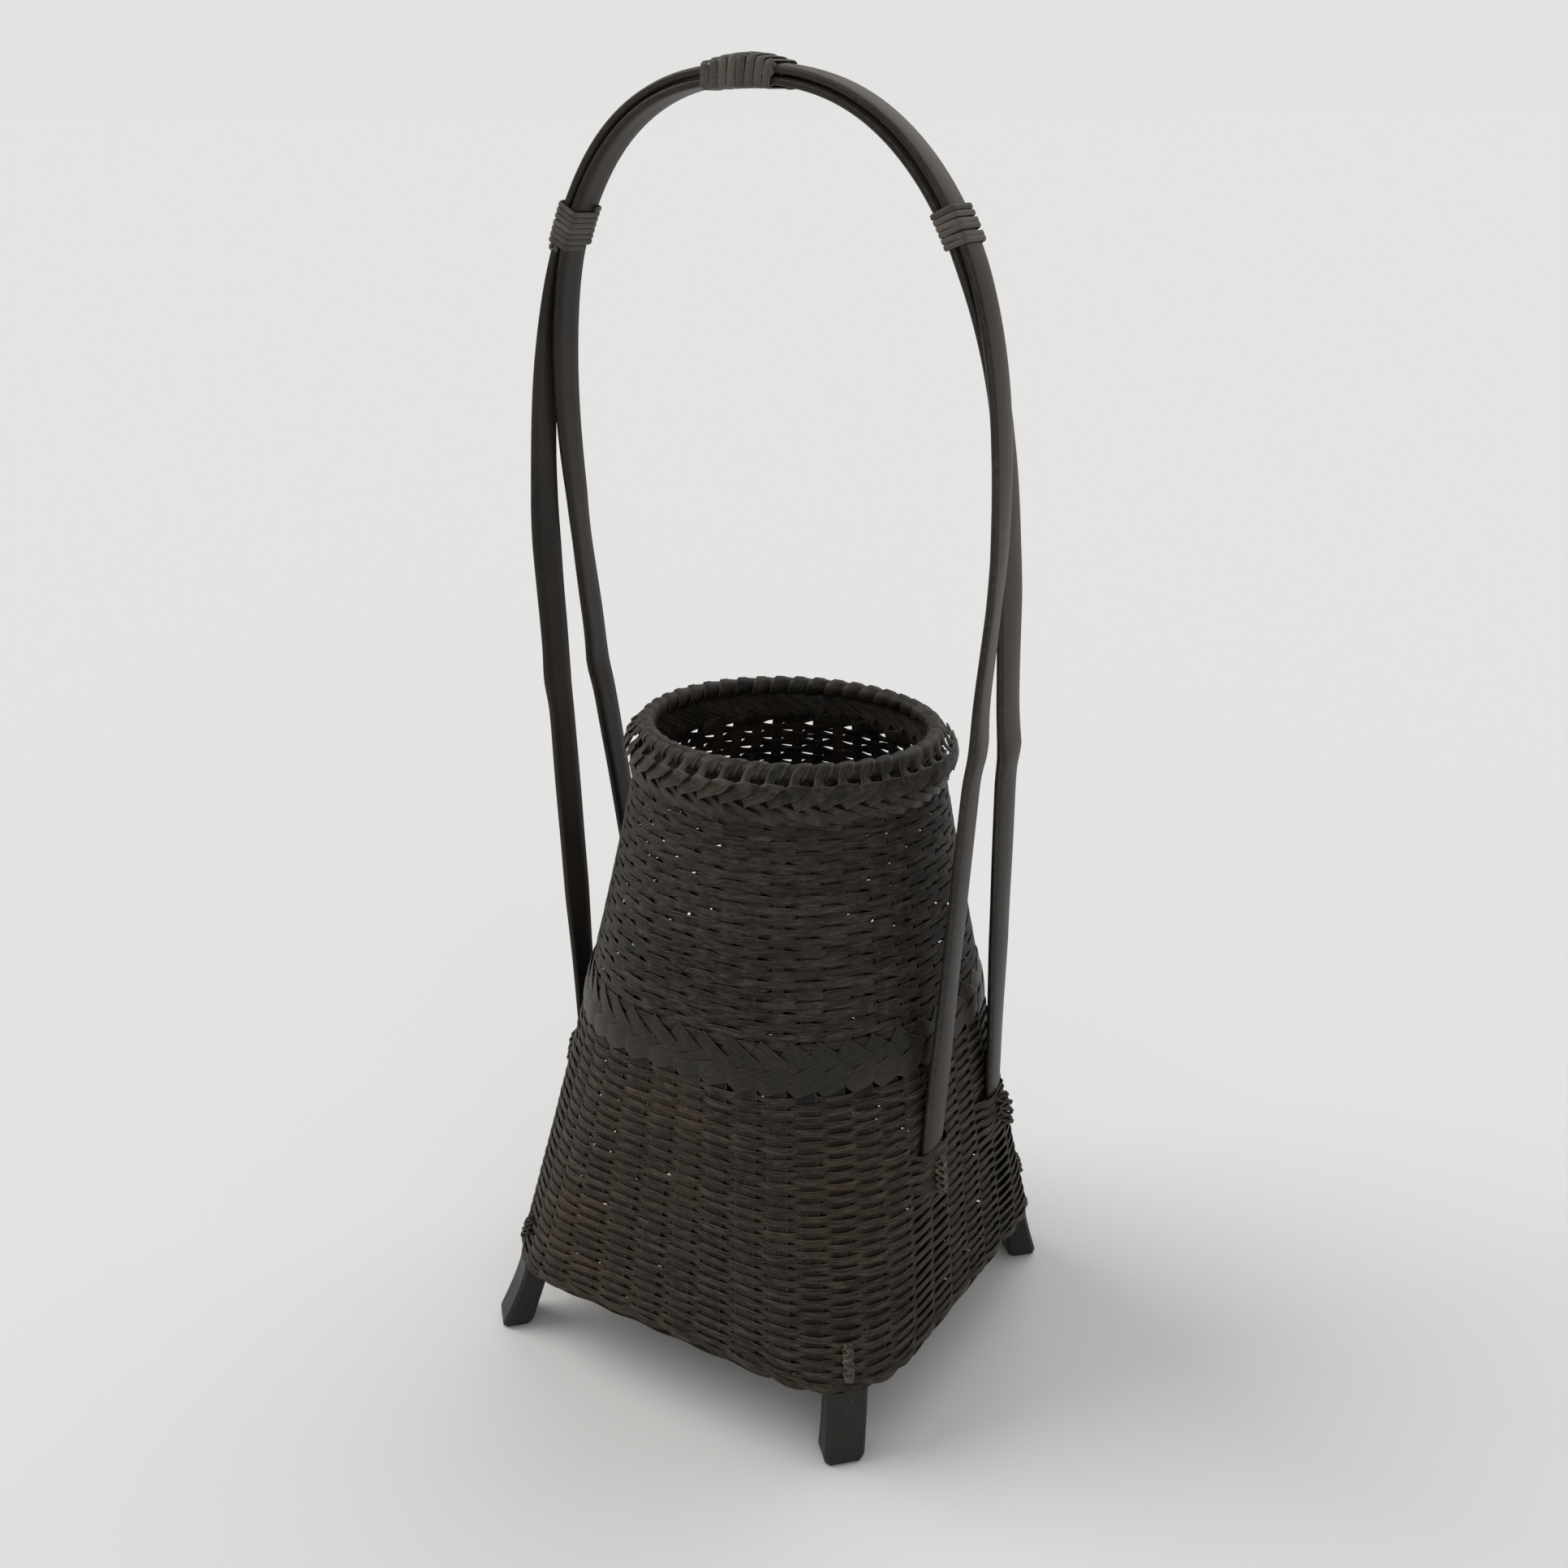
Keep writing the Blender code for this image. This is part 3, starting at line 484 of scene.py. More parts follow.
handle = {
    "wide": 12.5 * mm,
    "thick": 2.7 * mm,
    "crown": 0.35 * mm,
    "gap": 0.3 * mm,
    "top": 451.0 * mm,
    "half": 86.8 * mm,
    "widest": 310.0 * mm,
    "fullness": 2.45,
    "leanX": -5.5 * mm,
    "leanY": -2.5 * mm,
    "evenLean": 0.55,
    "leanPower": 6,
    "turn": np.radians(2.0),
    "part": 396.5 * mm,
    "legEnd": 42.0 * mm,
    "spread": 28.0 * mm,
    "apart": 243.0 * mm,
    "nodes": {(-1, -1): 245.0 * mm, (1, -1): 247.0 * mm, (-1, 1): 246.0 * mm, (1, 1): 240.0 * mm},
    "bend": 1.5 * mm,
    "settle": 60.0 * mm,
    "entry": 104.0 * mm,
    "entries": {(-1, -1): 9.0 * mm, (1, -1): 0.0, (-1, 1): 2.0 * mm, (1, 1): -5.0 * mm},
    "legEase": 0.1,
    "archSteps": 46,
    "legSteps": 50,
    "wallSteps": 60,
    "twistHeights": [0.0, 0.18, 0.35, 0.54, 1.0],
    "twists": [0.0, 0.0, -1.0, -0.4, 0.0],
    "twistMost": np.radians(10.0),
    "trackTop": 160.0 * mm,
    "crease": 55,
    "toneShare": 0.3,
    "skinFromShare": 0.3,
    "waves": ((0.018, 61.0), (0.014, 133.0)),
}


def softStart(share, ease):
    # Straight from 0 to 1 but for a level start whose length is set by ease
    return (np.sqrt(share ** 2 + ease ** 2) - ease) / (np.sqrt(1 + ease ** 2) - ease)


def legAnchor(side, front):
    # Where a leg goes through the wall's outer surface
    height = handle["entry"] + handle["entries"][(side, front)]
    middle = 0.0 if side > 0 else np.pi
    spread = np.arctan2(handle["spread"], wall["halfX"])
    return wallPoint(middle + handle["turn"] + side * front * spread, height, 0.0)


def archLean(height):
    # Share of the handle's lean at a height: partly even, the rest gathered near the top
    share = (height - handle["entry"]) / (handle["top"] - handle["entry"])
    return handle["evenLean"] * share + (1 - handle["evenLean"]) * share ** handle["leanPower"]


def archLine(turn):
    # Upper half of the handle as a full curve, turn from -90 to 90 degrees over the top
    power = 2 / handle["fullness"]
    across = handle["half"] * np.sign(turn) * np.abs(np.sin(turn)) ** power
    height = handle["widest"] + (handle["top"] - handle["widest"]) * np.cos(turn) ** power
    x = across * np.cos(handle["turn"]) + handle["leanX"] * archLean(height)
    y = across * np.sin(handle["turn"]) + handle["leanY"] * archLean(height)
    return np.stack([x, y, height], -1)


def followWall(points):
    # A line that would go deeper than the wall's inside is bent to run down along it, with the bend
    # rounded as a hyperbola
    offset, angle = aroundWall(points)
    centre = wallCentre(points[:, 2])
    surface = wallPoint(angle, points[:, 2], 0.0)[:, :2] - centre
    length = np.linalg.norm(offset, axis=1)
    depth = length - np.linalg.norm(surface, axis=1)
    inside = -(wall["thick"] + handle["thick"] / 2 + handle["crown"] + 2 * handle["gap"])
    eased = (depth + inside + np.sqrt((depth - inside) ** 2 + handle["bend"] ** 2)) / 2
    scale = (length + eased - depth) / length
    return np.concatenate([centre + offset * scale[:, None], points[:, 2:]], 1)


def halfPath(side, front):
    # From a leg's end up inside the wall, out through it and up to just short of the arch's top
    anchor = legAnchor(side, front)
    start = archLine(np.array([side * quarterTurn]))[0]
    settled = handle["entry"] + handle["settle"]
    low = np.linspace(handle["legEnd"], settled, handle["wallSteps"])
    high = np.linspace(settled, handle["widest"], handle["legSteps"])
    heights = np.concatenate([low, high[1:]])
    down = np.clip((handle["widest"] - heights) / (handle["widest"] - anchor[2]), 0, None)
    x = start[0] + (anchor[0] - start[0]) * softStart(down, handle["legEase"])
    leg = np.stack([x, np.full(len(x), start[1]), heights], -1)
    arch = archLine(side * np.linspace(quarterTurn, 0, handle["archSteps"])[1:-1])
    path = np.concatenate([leg, arch])
    apart = np.clip((handle["part"] - path[:, 2]) / (handle["part"] - anchor[2]), 0, None)
    path[:, 1] += (anchor[1] - start[1]) * apart
    path[:len(low)] = followWall(path[:len(low)])
    return path


def handlePath(front):
    # Both halves of a strip's centre line, joined over the arch's top
    top = archLine(np.zeros(1))
    return np.concatenate([halfPath(-1, front), top, halfPath(1, front)[::-1]])


def stripFrames(path, front):
    # Tangent, outward normal and width direction along a strip, with the twist of its legs
    tangent = unit(np.gradient(path, axis=0))
    outward = np.stack([-tangent[:, 2], np.zeros(len(path)), tangent[:, 0]], -1)
    side = np.where(path[:, 0] < 0, -1, 1)
    share = np.clip((handle["part"] - path[:, 2]) / (handle["part"] - handle["entry"]), 0, 1)
    twist = side * front * handle["twistMost"] * np.interp(share, handle["twistHeights"], handle["twists"])
    turned = np.stack([outward[:, 0] * np.cos(twist), outward[:, 0] * np.sin(twist), outward[:, 2]], -1)
    settled = (handle["entry"] + handle["settle"] - path[:, 2]) / handle["settle"]
    settled = np.clip(settled, 0, 1)[:, None]
    turned = turned * (1 - settled) + wallNormal(path) * settled
    normal = unit(turned - tangent * np.sum(turned * tangent, axis=1)[:, None])
    return tangent, normal, np.cross(tangent, normal)


def legTrack(side, front):
    # Height, angle on the wall and distance outside it of a leg's centre line near the wall
    path = halfPath(side, front)
    path = path[path[:, 2] < handle["trackTop"]]
    offset, angle = aroundWall(path)
    surface = wallPoint(angle, path[:, 2], 0.0)
    rise = surface[:, 2] - path[:, 2]
    depth = np.linalg.norm(offset, axis=1) - np.linalg.norm(surface[:, :2] - wallCentre(path[:, 2]), axis=1)
    return path[:, 2] - rise, np.unwrap(angle), depth


legs = {(side, front): legTrack(side, front) for side in (-1, 1) for front in (-1, 1)}


# Weaves

lowerWeave = {
    "rows": 48,
    "low": 28.7 * mm,
    "high": 131.2 * mm,
    "steps": 7,
    "wide": 2.68 * mm,
    "diveNarrow": 0.08,
    "thick": 0.75 * mm,
    "middle": -1.32 * mm,
    "dive": 0.74 * mm,
    "leftDive": (-0.60, -0.20),
    "rightDive": (0.20, 0.86),
    "twist": 0.10,
    "cornerTwist": 0.28,
    "cornerTurn": np.radians(27.0),
    "cornerReach": np.radians(17.0),
    "strayHigh": 0.16 * mm,
    "strayOut": 0.06 * mm,
    "strayWide": 0.04,
    "tone": 0.4,
    "toneSpread": 0.6,
}
upperWeave = {
    "rows": 43,
    "low": 146.0 * mm,
    "high": 221.4 * mm,
    "steps": 8,
    "wide": 2.2 * mm,
    "diveNarrow": 0.42,
    "thinWide": 1.80 * mm,
    "thinOut": 0.05 * mm,
    "closing": 0.34 * mm,
    "leastSlack": 0.1,
    "mostSlack": 1.6,
    "thick": 0.5 * mm,
    "middle": -1.30 * mm,
    "dive": 0.66 * mm,
    "leftDive": (-0.44, -0.28),
    "rightDive": (0.27, 0.98),
    "strayHigh": 0.12 * mm,
    "strayOut": 0.06 * mm,
    "strayWide": 0.09,
    "toneSpread": 0.6,
}
uprights = {
    "lowWide": 7.8 * mm,
    "highWide": 4.2 * mm,
    "thick": 0.85 * mm,
    "thinShare": 0.35,
    "out": -1.35 * mm,
    "upperOut": 0.08 * mm,
    "low": 28.9 * mm,
    "high": 232.0 * mm,
    "narrowFrom": 125.0 * mm,
    "narrowOver": 25.0 * mm,
    "strayWide": 0.07,
    "steps": 90,
}
bottomEdge = {
    "height": 29.6 * mm,
    "swingHigh": 0.9 * mm,
    "swingOut": 0.9 * mm,
    "out": -0.9 * mm,
    "wide": 2.6 * mm,
    "thick": 0.9 * mm,
    "steps": 12,
}
stakeRidge = {
    "high": 0.55 * mm,
    "reach": 4.0 * mm,
    "top": 124.0 * mm,
    "fade": 10.0 * mm,
}
legRoom = {
    "half": 7.0 * mm,
    "fade": 4.5 * mm,
    "outer": 1.8 * mm,
    "relief": 0.3,
    "inner": 2.2 * mm,
    "entryDrop": {(-1, -1): 5.0 * mm, (1, -1): 3.0 * mm, (-1, 1): 4.0 * mm, (1, 1): 0.5 * mm},
    "below": 8.0 * mm,
    "belowFade": 6.0 * mm,
    "top": 150.0 * mm,
}


def diveShare(turn, rowPhase, look):
    # 1 where a strip lies behind an upright and 0 where it lies in front; it dives sharply on the
    # left of the upright and comes up slowly on its right
    place = wall["uprights"] * turn - 0.5 - rowPhase
    aside = (place + 1) % 2 - 1
    (leftFrom, leftTo), (rightFrom, rightTo) = look["leftDive"], look["rightDive"]
    left = smooth((aside - leftFrom) / (leftTo - leftFrom))
    return left * smooth((rightTo - aside) / (rightTo - rightFrom))


def clearLegs(angle, height, out, behind):
    # Strips below a leg's entry pass outside the leg, strips above it and all uprights pass behind it
    for key, (heights, angles, depths) in legs.items():
        legAngle = np.interp(height, heights, angles)
        depth = np.interp(height, heights, depths)
        aside = (angle - legAngle + np.pi) % fullTurn - np.pi
        distance = np.abs(aside) * wallRadius(angle, height)
        near = smooth((legRoom["half"] + legRoom["fade"] - distance) / legRoom["fade"])
        near = near * smooth((height - handle["legEnd"] + legRoom["below"]) / legRoom["belowFade"])
        near = near * (height < legRoom["top"])
        entry = handle["entry"] + handle["entries"][key] - legRoom["entryDrop"][key]
        woven = legRoom["relief"] * (out - lowerWeave["middle"])
        outside = np.maximum(out, depth + legRoom["outer"] + woven)
        inside = np.minimum(out, depth - legRoom["inner"])
        target = np.where((height < entry) & (not behind), outside, inside)
        out = out + (target - out) * near
    return out


def cornerRidge(angle, height):
    # The stake inside each corner pushes the strips out: a bell round the corner's middle line
    look = stakeRidge
    aside = (np.pi / 4 - foldedAngle(angle)) * wallRadius(angle, height)
    below = smooth((look["top"] - height) / look["fade"])
    return look["high"] * np.exp(-(aside / look["reach"]) ** 2) * below


def rowTones(rows, length, pieces=12):
    # Tone of each strip, which changes where one length of weft ends and the next begins
    tones = chance.uniform(-1, 1, (rows, pieces))
    places = (np.arange(length) / length * pieces + chance.uniform(0, pieces, (rows, 1))).astype(int) % pieces
    return np.take_along_axis(tones, places, axis=1)


def weftRows(look):
    # Turn of each step round the wall, number of each row and height of its middle
    length = wall["uprights"] * look["steps"]
    row = np.arange(look["rows"])[:, None]
    pitch = (look["high"] - look["low"]) / look["rows"]
    return length, np.arange(length) / length, row, look["low"] + pitch * (row + 0.5)


def makeLowerWeave():
    # Plain weave: every strip passes before one upright and behind the next, and twists near the corner
    look = lowerWeave
    length, turn, row, level = weftRows(look)
    height = level + slowWave(turn, look["rows"], look["strayHigh"])
    angle = spreadAngle(turn[None], height)
    dive = diveShare(turn[None], row % 2, look)
    out = look["middle"] + look["dive"] * (1 - 2 * dive) + slowWave(turn, look["rows"], look["strayOut"])
    out = clearLegs(angle, height, out + cornerRidge(angle, height), False)
    wide = look["wide"] * (1 - look["diveNarrow"] * dive)
    wide = wide * (1 + slowWave(turn, look["rows"], look["strayWide"]))
    aside = (angle - look["cornerTurn"]) / look["cornerReach"]
    twist = look["twist"] + look["cornerTwist"] * np.exp(-aside ** 2)
    wallStrips("lower_weave", angle, height, out, wide, look["thick"], wovenBamboo,
               ["lower_wall"], shares=lensShares, tilt=twist[..., None], closed=True,
               tone=look["tone"] + look["toneSpread"] * rowTones(look["rows"], length))


def makeUpperWeave():
    # Of each four strips the first and third weave like the lower wall, half a turn apart; the thin ones
    # between them stay in front and spread over the strip that dives, up to a narrow slit
    look = upperWeave
    length, turn, row, level = weftRows(look)
    weaving = row % 2 == 0
    dive = np.where(weaving, diveShare(turn[None], row // 2 % 2, look), 0.0)
    below = np.where(weaving, 0.0, diveShare(turn[None], (row - 1) // 2 % 2, look))
    above = np.where(weaving, 0.0, diveShare(turn[None], (row + 1) // 2 % 2, look))
    slack = np.interp(turn * wall["uprights"], np.arange(wall["uprights"]),
                      chance.uniform(look["leastSlack"], look["mostSlack"], wall["uprights"]),
                      period=wall["uprights"])
    closing = look["closing"] * slack
    sway = closing / 2 * (above - below)
    height = level + sway + slowWave(turn, look["rows"], look["strayHigh"])
    angle = spreadAngle(turn[None], height)
    out = look["middle"] + look["dive"] * (1 - 2 * dive) + slowWave(turn, look["rows"], look["strayOut"])
    out = np.where(weaving, out, out + look["thinOut"])
    wide = np.where(weaving, look["wide"] * (1 - look["diveNarrow"] * dive), look["thinWide"])
    wide = wide + closing * (above + below)
    wide = wide * (1 + slowWave(turn, look["rows"], look["strayWide"]))
    wallStrips("upper_weave", angle, height, out, wide, look["thick"], upperBamboo,
               ["upper_wall"], closed=True, tone=look["toneSpread"] * rowTones(look["rows"], length))


def makeUprights():
    # Flat uprights, broad in the lower wall and narrow above the braid
    look = uprights
    turn = (np.arange(wall["uprights"])[:, None] + 0.5) / wall["uprights"]
    height = np.linspace(look["low"], look["high"], look["steps"])[None]
    angle = spreadAngle(turn, height)
    height = np.broadcast_to(height, angle.shape)
    share = smooth((height - look["narrowFrom"]) / look["narrowOver"])
    wide = look["lowWide"] + (look["highWide"] - look["lowWide"]) * share
    wide = wide * (1 + jitter(look["strayWide"], wall["uprights"]))
    out = clearLegs(angle, height, look["out"] + look["upperOut"] * share, True)
    wallStrips("uprights", angle, height, out, wide, look["thick"] * (1 - look["thinShare"] * share),
               uprightBamboo, lean=quarterTurn)


def makeBottomEdge():
    # Two stouter strips twined round the lower edge: each circles the edge's line, half a turn apart
    look = bottomEdge
    length = wall["uprights"] * look["steps"]
    turn = np.arange(length)[None] / length
    phase = fullTurn * wall["uprights"] / 2 * turn + np.arange(2)[:, None] * np.pi
    height = look["height"] + look["swingHigh"] * np.cos(phase)
    out = look["out"] + look["swingOut"] * np.sin(phase)
    angle = spreadAngle(turn, height)
    wallStrips("bottom_edge", angle, height, out + cornerRidge(angle, height), look["wide"], look["thick"],
               wovenBamboo, closed=True)


makeLowerWeave()
makeUpperWeave()
makeUprights()
makeBottomEdge()
print("walls woven")


# Leaves: short broad strips that lie on the wall shingle over shingle
def leafRun(count, shift, startAround, endAround, startHeight, endHeight, steps, bow=0.0):
    # Centre lines of count leaves round the wall: each runs from its start to its end, given in metres
    # round the wall and metres of height, and sags by bow between them
    share = np.linspace(0, 1, steps)[None]
    middle = (startHeight + endHeight) / 2
    turn = (np.arange(count)[:, None] + shift) / count
    base = spreadAngle(turn, middle)
    around = startAround + (endAround - startAround) * share + 0 * turn
    height = startHeight + (endHeight - startHeight) * share - bow * np.sin(np.pi * share) + 0 * turn
    angle = base + around / wallRadius(base, middle)
    lean = np.arctan2(-np.gradient(height, axis=1), np.gradient(around, axis=1))
    return angle, height, lean, share


midBraid = {
    "low": 132.2 * mm,
    "middle": 139.5 * mm,
    "high": 147.2 * mm,
    "leafWide": 8.4 * mm,
    "leafThick": 0.7 * mm,
    "narrowShare": 0.2,
    "lobeShare": 0.2,
    "run": 14.0 * mm,
    "shift": 0.5,
    "early": 1.5 * mm,
    "highOver": 0.4 * mm,
    "middleOver": 1.0 * mm,
    "lap": 2.6 * mm,
    "out": -0.2 * mm,
    "arch": 0.5 * mm,
    "upperSunk": 0.25 * mm,
    "tilt": 0.08,
    "steps": 12,
    "strayAround": 0.35 * mm / (70.0 * mm),
    "strayOut": 0.06 * mm,
    "strayWide": 0.05,
}


def makeMidBraid():
    # Two rows of leaves that meet in chevrons pointing right; each leaf is widest along its middle and
    # ends in a round lobe
    look = midBraid
    count = wall["uprights"]
    half = look["run"] / 2
    rows = (("mid_braid_upper", -half - look["early"], half, look["high"] + look["highOver"],
             look["middle"] - look["lap"], 1, []),
            ("mid_braid_lower", half, -half, look["middle"] + look["middleOver"],
             look["low"] + look["lap"], -1, ["mid_braid"]))
    for name, start, end, high, low, side, nodes in rows:
        angle, height, lean, share = leafRun(count, look["shift"], start, end, high, low, look["steps"])
        angle = angle + jitter(look["strayAround"], count)
        tail = np.clip(1 - (1 - share) / look["lobeShare"], 0, 1)
        lobe = look["narrowShare"] + (1 - look["narrowShare"]) * np.sqrt(1 - tail ** 2)
        wide = look["leafWide"] * lobe * (1 + jitter(look["strayWide"], count))
        out = look["out"] + look["arch"] * np.sin(np.pi * share) - look["upperSunk"] * (side > 0)
        out = out + jitter(look["strayOut"], count)
        wallStrips(name, angle, height, out, wide, look["leafThick"], braidBamboo, nodes,
                   lean=lean, shares=leafShares, tilt=look["tilt"] * side)


makeMidBraid()

neck = {
    "high": 229.2 * mm,
    "low": 222.0 * mm,
    "run": 21.0 * mm,
    "bow": 0.6 * mm,
    "shift": 0.2,
    "wide": 3.1 * mm,
    "thick": 0.9 * mm,
    "leastWide": 0.85,
    "mostWide": 1.1,
    "strayHigh": 0.2 * mm,
    "out": -1.0 * mm,
    "arch": 2.1 * mm,
    "archRate": 1.1,
    "archPower": 0.7,
    "tilt": 0.14,
    "steps": 14,
}


def makeNeckTwining():
    # Twined strips that come from under the collar, go down to the right in an arch and slip under the
    # next ones
    look = neck
    count = wall["uprights"]
    angle, height, lean, share = leafRun(count, look["shift"], -look["run"] / 2, look["run"] / 2,
                                         look["high"], look["low"], look["steps"], look["bow"])
    rise = np.sin(np.pi * np.clip(share * look["archRate"], 0, 1)) ** look["archPower"]
    wide = look["wide"] * chance.uniform(look["leastWide"], look["mostWide"], (count, 1))
    height = height + jitter(look["strayHigh"], count)
    wallStrips("neck_twining", angle, height, look["out"] + look["arch"] * rise, wide, look["thick"],
               rimBamboo, ["neck_row_lower", "neck_row_upper"], lean=lean, tilt=look["tilt"])


makeNeckTwining()

ring = {
    "radius": 51.0 * mm,
    "tube": 1.85 * mm,
    "height": 238.1 * mm,
    "wraps": 44,
    "wide": 7.1 * mm,
    "thick": 0.6 * mm,
    "bulge": 1.2 * mm,
    "lap": 0.48 * mm,
    "slant": 0.3,
    "strayWide": 0.04,
    "stepsPerWrap": 26,
    "hoopInside": 0.15 * mm,
    "hoopSides": 12,
    "hoopSteps": 120,
}
ringShares = np.array([[-0.5, 0.0], [-0.4, 0.5], [-0.15, 0.5], [0.15, 0.5], [0.4, 0.5], [0.5, 0.0],
                       [0.35, -0.5], [-0.35, -0.5]])


def ringPoint(around, tube, lift):
    # Point lift metres from the hoop's centre line, at its angle round the mouth and round the hoop
    around, tube, lift = np.broadcast_arrays(around, tube, lift)
    middle = wallPoint(around, ring["height"], ring["radius"] - wall["neckHalf"])
    radial = np.stack([np.cos(around), np.sin(around), 0 * around], -1)
    normal = radial * np.cos(tube)[..., None] + np.array([0.0, 0.0, 1.0]) * np.sin(tube)[..., None]
    return middle + normal * lift[..., None], normal


def makeRing():
    # One flat strip wound round the hoop as a helix that closes on itself; each turn swells and laps
    # the one before it
    look = ring
    shares = ringShares
    count = look["wraps"] * look["stepsPerWrap"]
    run = np.arange(count) / count
    turns = fullTurn * look["wraps"] * run
    around = fullTurn * run + look["slant"] * np.sin(turns) / look["wraps"]
    path, normal = ringPoint(around, turns, look["tube"])
    across = np.cross(unit(np.roll(path, -1, axis=0) - np.roll(path, 1, axis=0)), normal)
    wide = look["wide"] * (1 + slowWave(run, 1, look["strayWide"])[0])
    lift = shares[:, 1] * look["thick"] + shares[:, 0] * 2 * look["lap"]
    lift = lift + look["bulge"] * (1 - (2 * shares[:, 0]) ** 2)
    points = carrySection(path, across, normal, shares[:, 0] * wide[:, None], lift[None])
    shape = points.shape[:-1]
    along = np.broadcast_to(turns[:, None] * look["tube"], shape)
    side = np.broadcast_to(shares[:, 0] * look["wide"], shape)
    tone = np.repeat(chance.uniform(-1, 1, look["wraps"]), look["stepsPerWrap"])
    tone = np.broadcast_to(tone[:, None], shape)
    buildPiece("rim_wrapping", points, stripFaces(1, count, len(shares), True), rimBamboo,
               ["rim_ring"], along, side, tone, edge=edgeShares(shares, shape))


def makeHoop():
    # The hoop under the wrapping: circles round its centre line
    look = ring
    places, turns = (np.arange(look[key]) * fullTurn / look[key] for key in ("hoopSteps", "hoopSides"))
    around, tube = np.meshgrid(places, turns, indexing="ij")
    hoop, normal = ringPoint(around, tube, look["tube"] - look["hoopInside"])
    buildPiece("rim_hoop", hoop, stripFaces(1, look["hoopSteps"], look["hoopSides"], True), uprightBamboo,
               (), around * look["radius"], tube * look["tube"])


makeRing()
makeHoop()

collar = {
    "leafWide": 4.7 * mm,
    "thick": 0.8 * mm,
    "tipAround": 4.8 * mm,
    "endAround": -8.4 * mm,
    "tipHeight": 235.7 * mm,
    "endHeight": 229.9 * mm,
    "bow": -0.3 * mm,
    "tipShare": 0.10,
    "pointShare": 0.34,
    "out": 2.9 * mm,
    "sink": 0.5 * mm,
    "arch": 0.35 * mm,
    "tilt": 0.44,
    "strayWide": 0.08,
    "strayOut": 0.1 * mm,
    "strayHigh": 0.25 * mm,
    "leafSteps": 14,
}
stem = {
    "wide": 2.9 * mm,
    "widening": 0.75,
    "widenFromShare": 0.72,
    "height": 236.6 * mm,
    "drop": 2.6 * mm,
    "swing": 4.4 * mm,
    "swingShare": 0.75,
    "turn": np.radians(118.0),
    "ringShare": 0.62,
    "leaveShare": 0.5,
    "over": 1.35 * mm,
    "overShare": 0.22,
    "out": 1.6 * mm,
    "flare": 1.3 * mm,
    "steps": 16,
}


def makeCollarLeaves():
    # Each leaf starts in a point beside its stem and runs down to the left over the next leaf
    look = collar
    count = wall["uprights"]
    angle, height, lean, share = leafRun(count, 0.0, look["tipAround"], look["endAround"], look["tipHeight"],
                                         look["endHeight"], look["leafSteps"], look["bow"])
    grown = look["tipShare"] + (1 - look["tipShare"]) * np.clip(share / look["pointShare"], 0, 1)
    wide = look["leafWide"] * grown * (1 + jitter(look["strayWide"], count))
    out = look["out"] - look["sink"] * share + look["arch"] * np.sin(np.pi * share)
    out = out + jitter(look["strayOut"], count)
    height = height + jitter(look["strayHigh"], count)
    wallStrips("collar_leaves", angle, height, out, wide, look["thick"], rimBamboo,
               ["collar_braid"], lean=lean, tilt=look["tilt"], tone=jitter(1, count))


def makeCollarStems():
    # From over the ring each stem comes down between two wraps, leaves it and widens into its leaf: a
    # path round the ring's tube blends into one down the wall
    look = stem
    share = np.linspace(0, 1, look["steps"])[None]
    turn = np.arange(wall["uprights"])[:, None] / wall["uprights"]
    base = spreadAngle(turn, collar["tipHeight"])
    swung = base + look["swing"] * (1 - smooth(share / look["swingShare"])) / ring["radius"]
    lift = ring["tube"] + look["over"] * smooth(share / look["overShare"])
    onRing, normal = ringPoint(swung, look["turn"] * (1 - share / look["ringShare"]), lift)
    leave = smooth((share - look["leaveShare"]) / (1 - look["leaveShare"]))[..., None]
    drop = look["drop"] * np.clip((share - look["ringShare"]) / (1 - look["ringShare"]), 0, 1) ** 2
    onWall = wallPoint(swung, look["height"] - drop, look["out"] + look["flare"] * share)
    paths = onRing * (1 - leave) + onWall * leave
    around = np.stack([-np.sin(base), np.cos(base), 0 * base], -1)
    widening = smooth((share - look["widenFromShare"]) / (1 - look["widenFromShare"]))
    sweepStrip("collar_stems", paths, around, look["wide"] * (1 + look["widening"] * widening),
               collar["thick"], rimBamboo)


makeCollarLeaves()
makeCollarStems()

lining = {
    "low": 228.6 * mm,
    "high": 235.6 * mm,
    "wide": 5.6 * mm,
    "thick": 0.8 * mm,
    "out": -3.7 * mm,
    "run": 15.0 * mm,
    "shift": 0.1,
    "tilt": 0.26,
    "strayOut": 0.15 * mm,
    "steps": 8,
}
liningBand = {
    "count": 22,
    "high": 229.8 * mm,
    "low": 223.4 * mm,
    "wide": 5.2 * mm,
    "out": -2.9 * mm,
    "arch": 0.5 * mm,
    "run": 38.0 * mm,
    "shift": 0.6,
    "tilt": -0.08,
    "strayHigh": 0.8 * mm,
    "strayOut": 0.2 * mm,
    "steps": 20,
}


def makeLining():
    # Flat strips slant round the inside of the mouth, each one lapping the next
    look = lining
    count = wall["uprights"]
    angle, height, lean, share = leafRun(count, look["shift"], -look["run"] / 2, look["run"] / 2, look["low"],
                                         look["high"], look["steps"])
    wallStrips("mouth_lining", angle, height, look["out"] + jitter(look["strayOut"], count), look["wide"],
               look["thick"], rimBamboo, ["inner_band"], lean=lean, shares=leafShares,
               tilt=look["tilt"])


